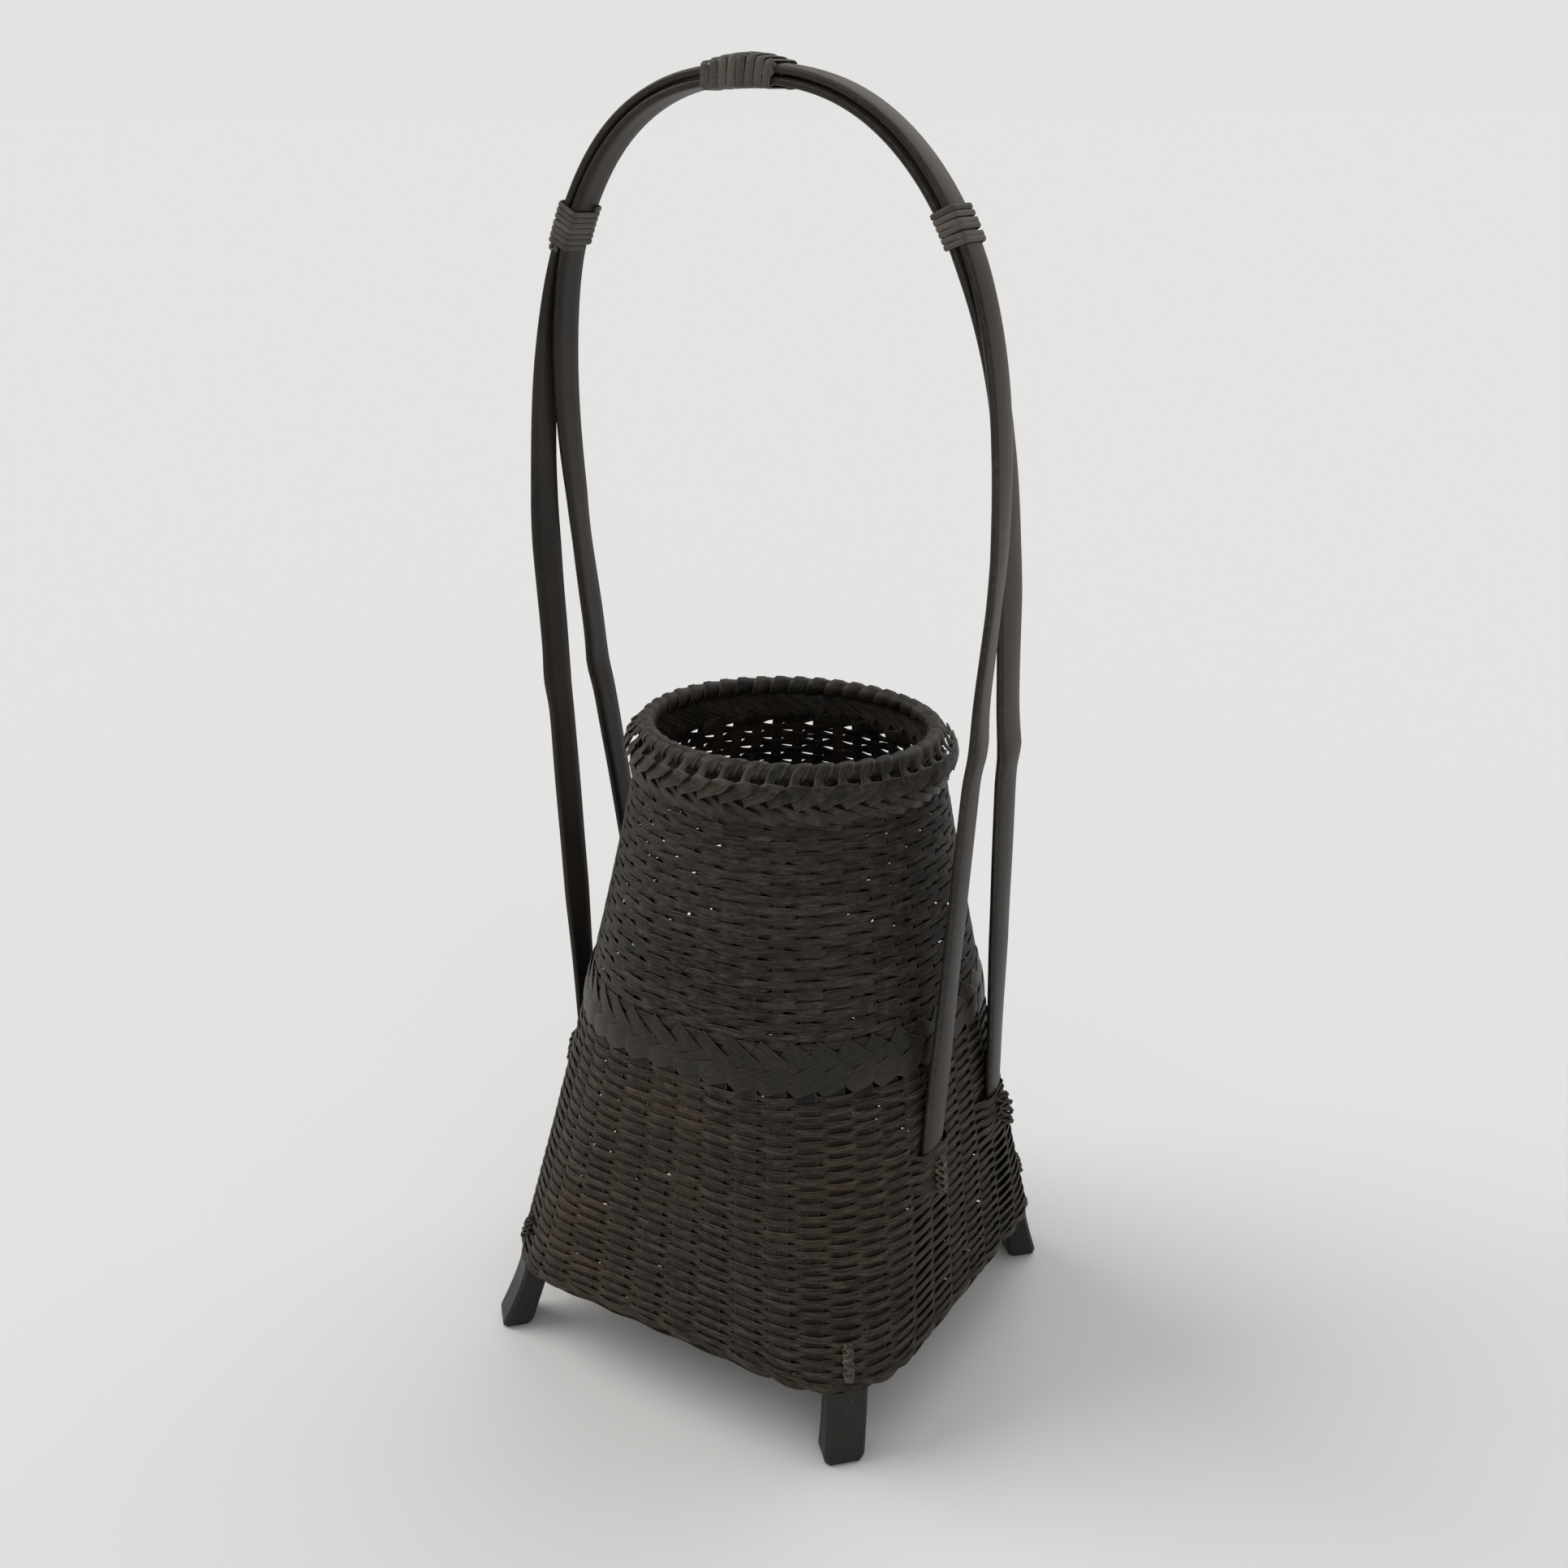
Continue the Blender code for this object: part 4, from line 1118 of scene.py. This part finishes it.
def makeLiningBands():
    # Under the lining long strips, nearly level, lie over each other in shallow arches
    look = liningBand
    count = look["count"]
    angle, height, lean, share = leafRun(count, look["shift"], -look["run"] / 2, look["run"] / 2,
                                         look["high"], look["low"], look["steps"])
    height = height + jitter(look["strayHigh"], count)
    out = look["out"] + look["arch"] * np.sin(np.pi * share) + jitter(look["strayOut"], count)
    wallStrips("lining_bands", angle, height, out, look["wide"], lining["thick"], rimBamboo,
               lean=lean, tilt=look["tilt"])


makeLining()
makeLiningBands()
print("mouth finished")


# Handle strips

handleShares = np.array([[-0.5, 0.12], [-0.46, 0.3], [-0.36, 0.42], [-0.2, 0.48], [0.0, 0.5], [0.2, 0.48],
                         [0.36, 0.42], [0.46, 0.3], [0.5, 0.12], [0.485, -0.3], [0.44, -0.5], [0.2, -0.5],
                         [-0.2, -0.5], [-0.44, -0.5], [-0.485, -0.3]])
culmNode = {
    "kink": 1.3 * mm,
    "kinkAbove": 11.0 * mm,
    "kinkBelow": 7.0 * mm,
    "bendShare": 0.6,
    "skinShare": 0.4,
    "swell": 0.07,
    "swellUp": 1.5 * mm,
    "swellReach": 7.0 * mm,
    "ridge": 0.22 * mm,
    "ridgeUp": 1.9 * mm,
    "ridgeReach": 1.5 * mm,
    "groove": 0.16 * mm,
    "grooveReach": 0.9 * mm,
    "brownBelow": 4.0 * mm,
    "brownOver": 10.0 * mm,
    "brownShare": 0.85,
}


def makeHandleStrip(name, front, layer, node):
    # Split bamboo with a crowned skin; each leg has a node: a ring line between two swellings
    look = handle
    culm = culmNode
    side, rise = handleShares[:, 0], handleShares[:, 1]
    path = handlePath(front)
    tangent, normal, across = stripFrames(path, front)
    apart = np.clip((look["widest"] - path[:, 2]) / (look["widest"] - look["apart"]), 0, 1)
    stacked = layer * (look["thick"] + look["crown"] + look["gap"]) / 2
    path = path + normal * (stacked * (1 - apart))[:, None]
    nodeHeight = np.where(path[:, 0] > 0, look["nodes"][(1, front)], look["nodes"][(-1, front)])
    away = path[:, 2] - nodeHeight
    # The culm swells and bends outwards at its node, and a fine line runs round under the swelling
    kink = culm["kink"] * np.exp(-(away / np.where(away > 0, culm["kinkAbove"], culm["kinkBelow"])) ** 2)
    path = path + normal * kink[:, None] * culm["bendShare"]
    swell = culm["swell"] * np.exp(-((away - culm["swellUp"]) / culm["swellReach"]) ** 2)
    ridge = culm["ridge"] * np.exp(-((away - culm["ridgeUp"]) / culm["ridgeReach"]) ** 2)
    groove = culm["groove"] * np.exp(-(away / culm["grooveReach"]) ** 2)
    run = runAlong(path)
    wave = sum(size * np.sin(run * rate + front * order)
               for order, (size, rate) in enumerate(look["waves"], 1))
    wide = look["wide"] * (1 + swell + wave)
    skin = (rise > look["skinFromShare"]) * 1.0
    lift = rise * look["thick"] + (0.5 - np.abs(side)) * 2 * look["crown"] * (rise > 0)
    lift = lift[None] + (ridge - groove + culm["skinShare"] * kink)[:, None] * skin[None]
    points = carrySection(path, across, normal, side * wide[:, None], lift)
    shape = points.shape[:-1]
    brown = smooth((path[:, 2] - nodeHeight + culm["brownBelow"]) / culm["brownOver"]) * culm["brownShare"]
    skinPlace = skin[None] * (brown + 1 - culm["brownShare"])[:, None]
    buildPiece(name, points, stripFaces(1, len(path), len(side), False), handleBamboo, [node],
               np.broadcast_to(run[:, None], shape), np.broadcast_to(side * look["wide"], shape),
               np.full(shape, -look["toneShare"] * front), look["crease"], skinPlace,
               np.broadcast_to(2 * np.abs(side) * (rise > 0), shape))


makeHandleStrip("front_handle_strip", -1, 1, "handle_front_strip")
makeHandleStrip("back_handle_strip", 1, -1, "handle_back_strip")
print("handle made")


# Cane bindings

binding = {
    "shoulder": 405.0 * mm,
    "rightUp": 3.0 * mm,
    "leftLoops": 7,
    "rightLoops": 6,
    "cane": 1.8 * mm,
    "pitch": 2.0 * mm,
    "apexCane": 2.9 * mm,
    "apexPitch": 3.2 * mm,
    "apexLoops": 8,
    "thick": 0.8 * mm,
    "clear": 0.15 * mm,
    "wander": 0.16 * mm,
    "startShare": 0.68,
    "roundPower": 9.0,
    "loopSteps": 48,
    "archSteps": 1441,
}
apexBundle = {
    "hump": 1.9 * mm,
    "long": 21.0 * mm,
    "peak": 1.5 * mm,
    "slopePower": 1.7,
    "roundPower": 0.8,
    "sideDropShare": 0.35,
    "strands": 9,
    "halfWide": 3.4 * mm,
    "capHalf": 4.4 * mm,
    "low": 0.45 * mm,
    "under": 1.0 * mm,
    "insideShare": 0.98,
    "cane": 1.25 * mm,
    "thick": 1.1 * mm,
    "steps": 25,
}
knob = {
    "left": {"along": -8.0 * mm, "size": 1.2 * mm, "seed": 0.4},
    "apex": {"along": 10.8 * mm, "size": 1.4 * mm, "seed": 1.9},
    "inset": 0.5 * mm,
    "high": 1.6 * mm,
    "cane": 1.5 * mm,
    "thick": 0.9 * mm,
    "turns": 2,
    "lobes": 1.5,
    "swell": 0.35,
    "deep": 0.5,
    "steps": 97,
}


def archFrame(places):
    # Middle of the two stacked strips at given distances along the arch from its top, and its frame
    line = archLine(np.linspace(-quarterTurn, quarterTurn, binding["archSteps"]))
    length = runAlong(line)
    length -= length[len(length) // 2]
    point = np.stack([np.interp(places, length, line[:, k]) for k in range(3)], -1)
    ahead = np.stack([np.interp(places + mm, length, line[:, k]) for k in range(3)], -1)
    tangent = unit(ahead - point)
    normal = unit(np.stack([-tangent[:, 2], np.zeros(len(places)), tangent[:, 0]], -1))
    return point, tangent, normal, np.cross(tangent, normal)


def archPlace(side, height):
    # Distance from the arch's top to that height on one side, negative on the left
    line = archLine(side * np.linspace(0, quarterTurn, binding["archSteps"] // 2 + 1))
    return side * np.interp(-height, -line[:, 2], runAlong(line))


def roundedLoop(share, halfWide, halfTall):
    # A full oval close to the strips' oblong section, share running once round it: the radius is
    # (|cos| ^ power + |sin| ^ power) ^ (-1 / power)
    angle = fullTurn * share
    power = binding["roundPower"]
    scale = (np.abs(np.cos(angle)) ** power + np.abs(np.sin(angle)) ** power) ** (-1 / power)
    return halfWide * scale * np.cos(angle), halfTall * scale * np.sin(angle)


def apexHump(places):
    # Height of the bundle over the strips: highest right of the middle, with a rounded slope both ways
    look = apexBundle
    half = look["long"] / 2
    reach = np.where(places > look["peak"], half - look["peak"], half + look["peak"])
    aside = np.abs(places - look["peak"]) / reach
    return look["hump"] * np.clip(1 - aside ** look["slopePower"], 0, 1) ** look["roundPower"]


def makeBinding(name, middle, loops, pitch, caneWide, humped, node):
    # One unbroken flat cane wound round both strips: a helix of rounded loops that wander a little on top
    look = binding
    turns = np.arange(look["loopSteps"] * loops + 1) / look["loopSteps"]
    places = middle + pitch * (turns - loops / 2)
    halfWide = handle["wide"] / 2 + handle["gap"] + look["thick"] / 2
    halfTall = handle["thick"] + handle["crown"] + handle["gap"] + look["thick"] / 2 + look["clear"]
    side, tall = roundedLoop(turns + look["startShare"], halfWide, halfTall)
    loopNumber = np.floor(turns).astype(int)
    wander = chance.normal(0, look["wander"], loops + 2)[loopNumber]
    top = np.clip(tall / halfTall, 0, 1)
    point, tangent, normal, across = archFrame(places + wander * top)
    if humped:
        sideDrop = 1 - apexBundle["sideDropShare"] * (side / halfWide) ** 2
        tall = tall + apexHump(places - middle) * top * sideDrop
    path = point + across * side[:, None] + normal * tall[:, None]
    tones = chance.uniform(-1, 1, loops + 2)[loopNumber]
    sweepStrip(name, path[None], tangent[None], caneWide, look["thick"], bindingCane, [node],
               tone=tones[None])


def makeKnob(name, place, size, seed):
    # A small knot of cane on the strip's edge: a ring of two turns whose radius and depth swell and
    # shrink, so that it winds over and under itself
    look = knob
    point, tangent, normal, across = archFrame(np.array([place]))
    turn = fullTurn * look["turns"] * np.linspace(0, 1, look["steps"])[:, None]
    radius = 1 + look["swell"] * np.cos(look["lobes"] * turn + seed)
    depth = look["deep"] * np.sin(look["lobes"] * turn + seed)
    centre = point + across * (handle["wide"] / 2 - look["inset"]) + normal * look["high"]
    path = centre + (tangent * np.cos(turn) * radius + normal * np.sin(turn) * radius + across * depth) * size
    sweepStrip(name, path[None], across, look["cane"], look["thick"], bindingCane)


def makeBindings():
    # One winding on each shoulder and one at the top, and the knots in which two of them end
    look = binding
    left = archPlace(-1, look["shoulder"])
    right = archPlace(1, look["shoulder"]) - look["rightUp"]
    makeBinding("left_shoulder_cane", left, look["leftLoops"], look["pitch"], look["cane"], False,
                "left_shoulder_binding")
    makeBinding("right_shoulder_cane", right, look["rightLoops"], look["pitch"], look["cane"], False,
                "right_shoulder_binding")
    makeBinding("apex_cane", 0.0, look["apexLoops"], look["apexPitch"], look["apexCane"], True,
                "apex_binding")
    for name, place, own in (("left_shoulder_knot", left, knob["left"]), ("apex_knot", 0.0, knob["apex"])):
        makeKnob(name, place + own["along"], own["size"], own["seed"])


def makeApexBundle():
    # Cane ends bundled on top of the arch under the apex binding: side by side under a round cap
    look = apexBundle
    places = np.linspace(-0.5, 0.5, look["steps"]) * look["long"] * look["insideShare"]
    side = np.linspace(-1, 1, look["strands"])[:, None] * look["halfWide"]
    point, tangent, normal, across = archFrame(places)
    base = handle["thick"] + handle["crown"] + look["low"]
    cap = np.sqrt(np.clip(1 - (side / look["capHalf"]) ** 2, 0, 1))
    tall = np.clip((apexHump(places)[None] - look["under"]) * cap, 0, None)
    paths = point[None] + across[None] * side[..., None] + normal[None] * (base + tall)[..., None]
    sweepStrip("apex_bundle", paths, across[None], look["cane"], look["thick"], bindingCane,
               ["apex_filler"])


makeBindings()
makeApexBundle()

footTie = {
    "wide": 3.9 * mm,
    "deep": 1.0 * mm,
    "out": 2.0 * mm,
    "tall": 13.5 * mm,
    "cane": 1.6 * mm,
    "thick": 1.1 * mm,
    "crossings": 2.1,
    "low": 33.0 * mm,
    "raised": 0.0,
}
knotTie = dict(footTie, tall=9.0 * mm, low=36.5 * mm, crossings=1.5, out=1.3 * mm, raised=0.8 * mm)
legTie = {
    "wide": 5.8 * mm,
    "deep": 1.4 * mm,
    "out": 2.2 * mm,
    "tall": 13.5 * mm,
    "cane": 2.1 * mm,
    "thick": 1.2 * mm,
    "crossings": 1.6,
    "aside": 1.8 * mm,
    "drops": {(-1, -1): 8.0 * mm, (1, -1): 8.0 * mm, (-1, 1): 7.0 * mm, (1, 1): 2.5 * mm},
    "raises": {(-1, -1): 0.6 * mm, (1, -1): 0.0, (-1, 1): 1.2 * mm, (1, 1): 2.4 * mm},
}
plait = {
    "strands": 3,
    "steps": 49,
    "endShare": 0.12,
    "endWide": 0.35,
    "endDeep": 0.4,
    "lumps": 3.5,
    "lumpBase": 0.3,
    "radius": 88.0 * mm,
}


def makeTie(name, look, angle, low, raised, node, finish):
    # A flat plait: each cane swings from side to side as a sine while it goes over and under the others
    # as a cosine of twice the turn; raised makes it stand off the wall in lumps
    share = np.linspace(0, 1, plait["steps"])[None]
    strand = np.arange(plait["strands"])[:, None] / plait["strands"]
    swing = fullTurn * (share * look["crossings"] + strand)
    full = smooth(share / plait["endShare"]) * smooth((1 - share) / plait["endShare"])
    aside = (look["wide"] - look["cane"]) / 2 * np.sin(swing)
    around = aside * (plait["endWide"] + (1 - plait["endWide"]) * full) / plait["radius"]
    out = look["out"] + look["deep"] * np.cos(2 * swing) * (plait["endDeep"] + (1 - plait["endDeep"]) * full)
    lump = np.sin(plait["lumps"] * np.pi * share) ** 2
    out = out + raised * (plait["lumpBase"] + (1 - plait["lumpBase"]) * lump)
    height = low + look["tall"] * share
    centre = wallPoint(angle + around, height, out)
    beside = wallPoint(angle + around + wall["slopeTurn"], height, out) - centre
    sweepStrip(name, centre, unit(beside), look["cane"], look["thick"], finish, [node])


def makeTies():
    # A plait upright on the wall at each corner above the foot, and one below each leg's entry
    for index, corner in enumerate(("right", "back", "left", "front")):
        look, finish = (footTie, tieCane) if corner == "front" else (knotTie, knotCane)
        makeTie("foot_plait_" + corner, look, np.pi / 4 + index * quarterTurn, look["low"], look["raised"],
                "foot_tie_" + corner, finish)
    for word, key in (("front_left", (-1, -1)), ("front_right", (1, -1)), ("back_left", (-1, 1)),
                      ("back_right", (1, 1))):
        anchor = legAnchor(*key)
        angle = aroundWall(anchor)[1] + legTie["aside"] / wall["halfX"]
        makeTie("leg_plait_" + word, legTie, angle, anchor[2] - legTie["drops"][key] - legTie["tall"],
                legTie["raises"][key], "leg_tie_" + word, tieCane if word == "front_right" else knotCane)


makeTies()
print("bindings and ties wound")


# Floor: flat strips woven over and under each other, slightly domed

floorWeave = {
    "strips": 16,
    "wide": 9.3 * mm,
    "thick": 0.7 * mm,
    "height": 30.2 * mm,
    "rise": 2.0 * mm,
    "wave": 0.42 * mm,
    "sideInset": 5.6 * mm,
    "endInset": 2.2 * mm,
    "corner": 36.0 * mm,
    "steps": 65,
}


def makeFloorFamily(name, alongX, nodes):
    # Strips side by side whose ends follow the floor's round corners; each waves over and under the
    # crossing ones as a cosine on top of a dome, (1 - x^2) (1 - y^2) in shares of the wall's halves
    look = floorWeave
    across, along = ("halfY", "halfX") if alongX else ("halfX", "halfY")
    half = wall[across] - look["sideInset"]
    other = wall[along] - look["endInset"]
    offset = np.linspace(-1, 1, look["strips"])[:, None] * half
    corner = look["corner"]
    inset = np.clip(np.abs(offset) - (half - corner), 0, corner)
    reach = other - corner + np.sqrt(np.maximum(corner ** 2 - inset ** 2, 0))
    run = reach * np.linspace(-1, 1, look["steps"])[None]
    pitch = 2 * half / (look["strips"] - 1)
    order = np.arange(look["strips"])[:, None] + (1 if alongX else 0)
    side = np.broadcast_to(offset, run.shape)
    x, y = (run, side) if alongX else (side, run)
    dome = look["rise"] * (1 - (x / wall["halfX"]) ** 2) * (1 - (y / wall["halfY"]) ** 2)
    z = look["height"] + dome + look["wave"] * np.cos(np.pi * (run / pitch + order))
    flat = np.array([0.0, 1.0, 0.0]) if alongX else np.array([1.0, 0.0, 0.0])
    sweepStrip(name, np.stack([x, y, z], -1), flat, look["wide"], look["thick"], wovenBamboo,
               nodes)


makeFloorFamily("floor_strips_long", True, ["floor_panel"])
makeFloorFamily("floor_strips_cross", False, [])

foot = {
    "wide": 14.5 * mm,
    "soleThick": 12.0 * mm,
    "neckThick": 9.5 * mm,
    "bevel": 1.3 * mm,
    "splay": {"right": 7.0 * mm, "back": 6.0 * mm, "left": 11.5 * mm, "front": 4.5 * mm},
    "aside": {"right": 0.0, "back": 0.0, "left": 0.0, "front": -2.4 * mm},
    "shoulder": 28.2 * mm,
    "splayPower": 1.3,
    "thickPower": 2.2,
    "soleRound": 3.2 * mm,
    "soleInset": 1.8 * mm,
    "soleHeights": np.array([0.0, 0.3, 1.0, 2.0]) * mm,
    "blockSteps": 14,
    "stakeWide": 7.0 * mm,
    "stakeThick": 3.6 * mm,
    "stakeDepth": 3.2 * mm,
    "stakeBevel": 0.8 * mm,
    "stakeTop": 120.0 * mm,
    "stakeSteps": 24,
    "crease": 30,
}
# The bevelled section: which way each corner lies across and how deep, and where the bevel cuts it
footSideShares = np.array([1, -1, -1, -1, -1, 1, 1, 1])
footSideCuts = np.array([1, 1, 0, 0, 1, 1, 0, 0])
footDepthShares = np.array([0, 0, 0, 1, 1, 1, 1, 0])
footDepthCuts = np.array([0, 0, 1, -1, 0, 0, -1, 1])


def makeFoot(name, corner, splay, aside, node):
    # A carved block that thickens and splays outwards to its rounded sole as powers of the way down, and
    # the stake above its shoulder
    look = foot
    block = np.concatenate([look["soleHeights"],
                            np.linspace(look["soleRound"], look["shoulder"], look["blockSteps"])])
    height = np.concatenate([block, np.linspace(look["shoulder"], look["stakeTop"], look["stakeSteps"])])
    above = np.arange(len(height)) >= len(block)
    down = np.clip(1 - height / look["shoulder"], 0, 1)
    splayed = down ** look["splayPower"]
    thick = look["neckThick"] + (look["soleThick"] - look["neckThick"]) * down ** look["thickPower"]
    inset = look["soleInset"] * (1 - np.sqrt(1 - np.clip(1 - height / look["soleRound"], 0, 1) ** 2))
    thick = np.where(above, look["stakeThick"], thick - 2 * inset)[:, None]
    wide = np.where(above, look["stakeWide"], look["wide"] - 2 * inset)[:, None]
    outer = np.where(above, -look["stakeDepth"], splay * splayed - inset)
    start = wallPoint(corner, np.maximum(height, wall["bottom"]), outer)
    start[:, 2] = height
    bevel = np.where(above, look["stakeBevel"], look["bevel"])[:, None]
    side = footSideShares * (wide / 2 - bevel * footSideCuts) + (aside * np.where(above, 0, splayed))[:, None]
    depth = thick * footDepthShares + bevel * footDepthCuts
    out = np.array([np.cos(corner), np.sin(corner), 0.0])
    across = np.array([-np.sin(corner), np.cos(corner), 0.0])
    points = start[:, None] - out * depth[..., None] + across * side[..., None]
    buildPiece(name, points, stripFaces(1, len(height), len(footSideShares), False), footBamboo,
               [node], crease=look["crease"])


for index, cornerName in enumerate(("right", "back", "left", "front")):
    makeFoot("carved_foot_" + cornerName, np.pi / 4 + index * quarterTurn, foot["splay"][cornerName],
             foot["aside"][cornerName], "foot_" + cornerName)

for nodeName in ("floor_slat_lower", "floor_slat_upper"):
    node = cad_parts[nodeName]
    node.data.materials.clear()
    node.data.materials.append(slatBamboo)
print("floor and feet finished")


# Studio

studio = {
    "floor": (0.85, 0.845, 0.835, 1.0),
    "seen": (0.770, 0.768, 0.755, 1.0),
    "ambient": 0.40,
    "reach": 60.0,
    "floorRough": 0.45,
    "skyColour": (0.97, 0.985, 1.0, 1.0),
}


def makeStage():
    # A plain square floor round the origin
    floorMesh = bpy.data.meshes.new("studio_floor")
    reach = studio["reach"]
    floorMesh.from_pydata([(-reach, -reach, 0), (reach, -reach, 0), (reach, reach, 0), (-reach, reach, 0)],
                          [], [(0, 1, 2, 3)])
    material = bpy.data.materials.new("studio floor")
    material.use_nodes = True
    shader = material.node_tree.nodes["Principled BSDF"]
    shader.inputs["Base Color"].default_value = studio["floor"]
    shader.inputs["Roughness"].default_value = studio["floorRough"]
    shader.inputs["Specular IOR Level"].default_value = 0.0
    floorMesh.materials.append(material)
    floor = bpy.data.objects.new("studio_floor", floorMesh)
    bpy.context.scene.collection.objects.link(floor)


def makeWorld():
    # Soft even light, and a pale background wherever the camera looks past the floor
    world = bpy.data.worlds.new("studio")
    bpy.context.scene.world = world
    world.use_nodes = True
    nodes, links = world.node_tree.nodes, world.node_tree.links
    ambient = nodes["Background"]
    ambient.inputs["Color"].default_value = studio["skyColour"]
    ambient.inputs["Strength"].default_value = studio["ambient"]
    seen = nodes.new("ShaderNodeBackground")
    seen.inputs["Color"].default_value = studio["seen"]
    seen.inputs["Strength"].default_value = 1.0
    rays = nodes.new("ShaderNodeLightPath")
    first = nodes.new("ShaderNodeMath")
    first.operation = "MAXIMUM"
    links.new(rays.outputs["Is Camera Ray"], first.inputs[0])
    links.new(rays.outputs["Is Transmission Ray"], first.inputs[1])
    mix = nodes.new("ShaderNodeMixShader")
    links.new(first.outputs[0], mix.inputs[0])
    links.new(ambient.outputs[0], mix.inputs[1])
    links.new(seen.outputs[0], mix.inputs[2])
    links.new(mix.outputs[0], nodes["World Output"].inputs["Surface"])


# Broad suns: where each stands as seen from the basket, its strength and how wide it looks
lamps = {
    "key": {"from": (-1.05, -0.30, 1.0), "power": 1.50, "wide": 45.0, "colour": (1.0, 0.98, 0.95)},
    "side": {"from": (1.0, -1.0, 0.6), "power": 0.26, "wide": 45.0, "colour": (1.0, 0.97, 0.94)},
    "back": {"from": (0.1, 1.2, 1.2), "power": 0.80, "wide": 60.0, "colour": (0.97, 0.98, 1.0)},
}


def makeLamps():
    # A sun for each lamp, turned to shine from its direction to the origin
    for name, look in lamps.items():
        light = bpy.data.lights.new(name, "SUN")
        light.energy = look["power"]
        light.angle = np.radians(look["wide"])
        light.color = look["colour"]
        lamp = bpy.data.objects.new(name, light)
        lamp.rotation_euler = Vector(look["from"]).to_track_quat("Z", "Y").to_euler()
        bpy.context.scene.collection.objects.link(lamp)


view = {
    "azimuth": np.radians(32.11),
    "elevation": np.radians(21.76),
    "roll": np.radians(-0.38),
    "distance": 612.2 * mm,
    "aimHeight": 215.9 * mm,
    "aimRight": 3.48 * mm,
    "lens": 39.25,
    "sensor": 36.0,
    "near": 0.01,
}


def makeCamera():
    # The camera stands where the photograph was taken, found from the basket's edges
    look = view
    azimuth, elevation, roll = look["azimuth"], look["elevation"], look["roll"]
    back = Vector((np.sin(azimuth) * np.cos(elevation), -np.cos(azimuth) * np.cos(elevation),
                   np.sin(elevation)))
    level = Vector((np.cos(azimuth), np.sin(azimuth), 0.0))
    upright = back.cross(level)
    right = level * np.cos(roll) + upright * np.sin(roll)
    up = back.cross(right)
    place = Vector((0.0, 0.0, look["aimHeight"])) + level * look["aimRight"] + back * look["distance"]
    data = bpy.data.cameras.new("camera")
    data.lens = look["lens"]
    data.sensor_width = look["sensor"]
    data.clip_start = look["near"]
    camera = bpy.data.objects.new("camera", data)
    camera.matrix_world = Matrix(((right.x, up.x, back.x, place.x), (right.y, up.y, back.y, place.y),
                                  (right.z, up.z, back.z, place.z), (0, 0, 0, 1)))
    bpy.context.scene.collection.objects.link(camera)
    bpy.context.scene.camera = camera


makeStage()
makeWorld()
makeLamps()
makeCamera()
bpy.context.scene.view_settings.view_transform = "Standard"

print("scene ready")
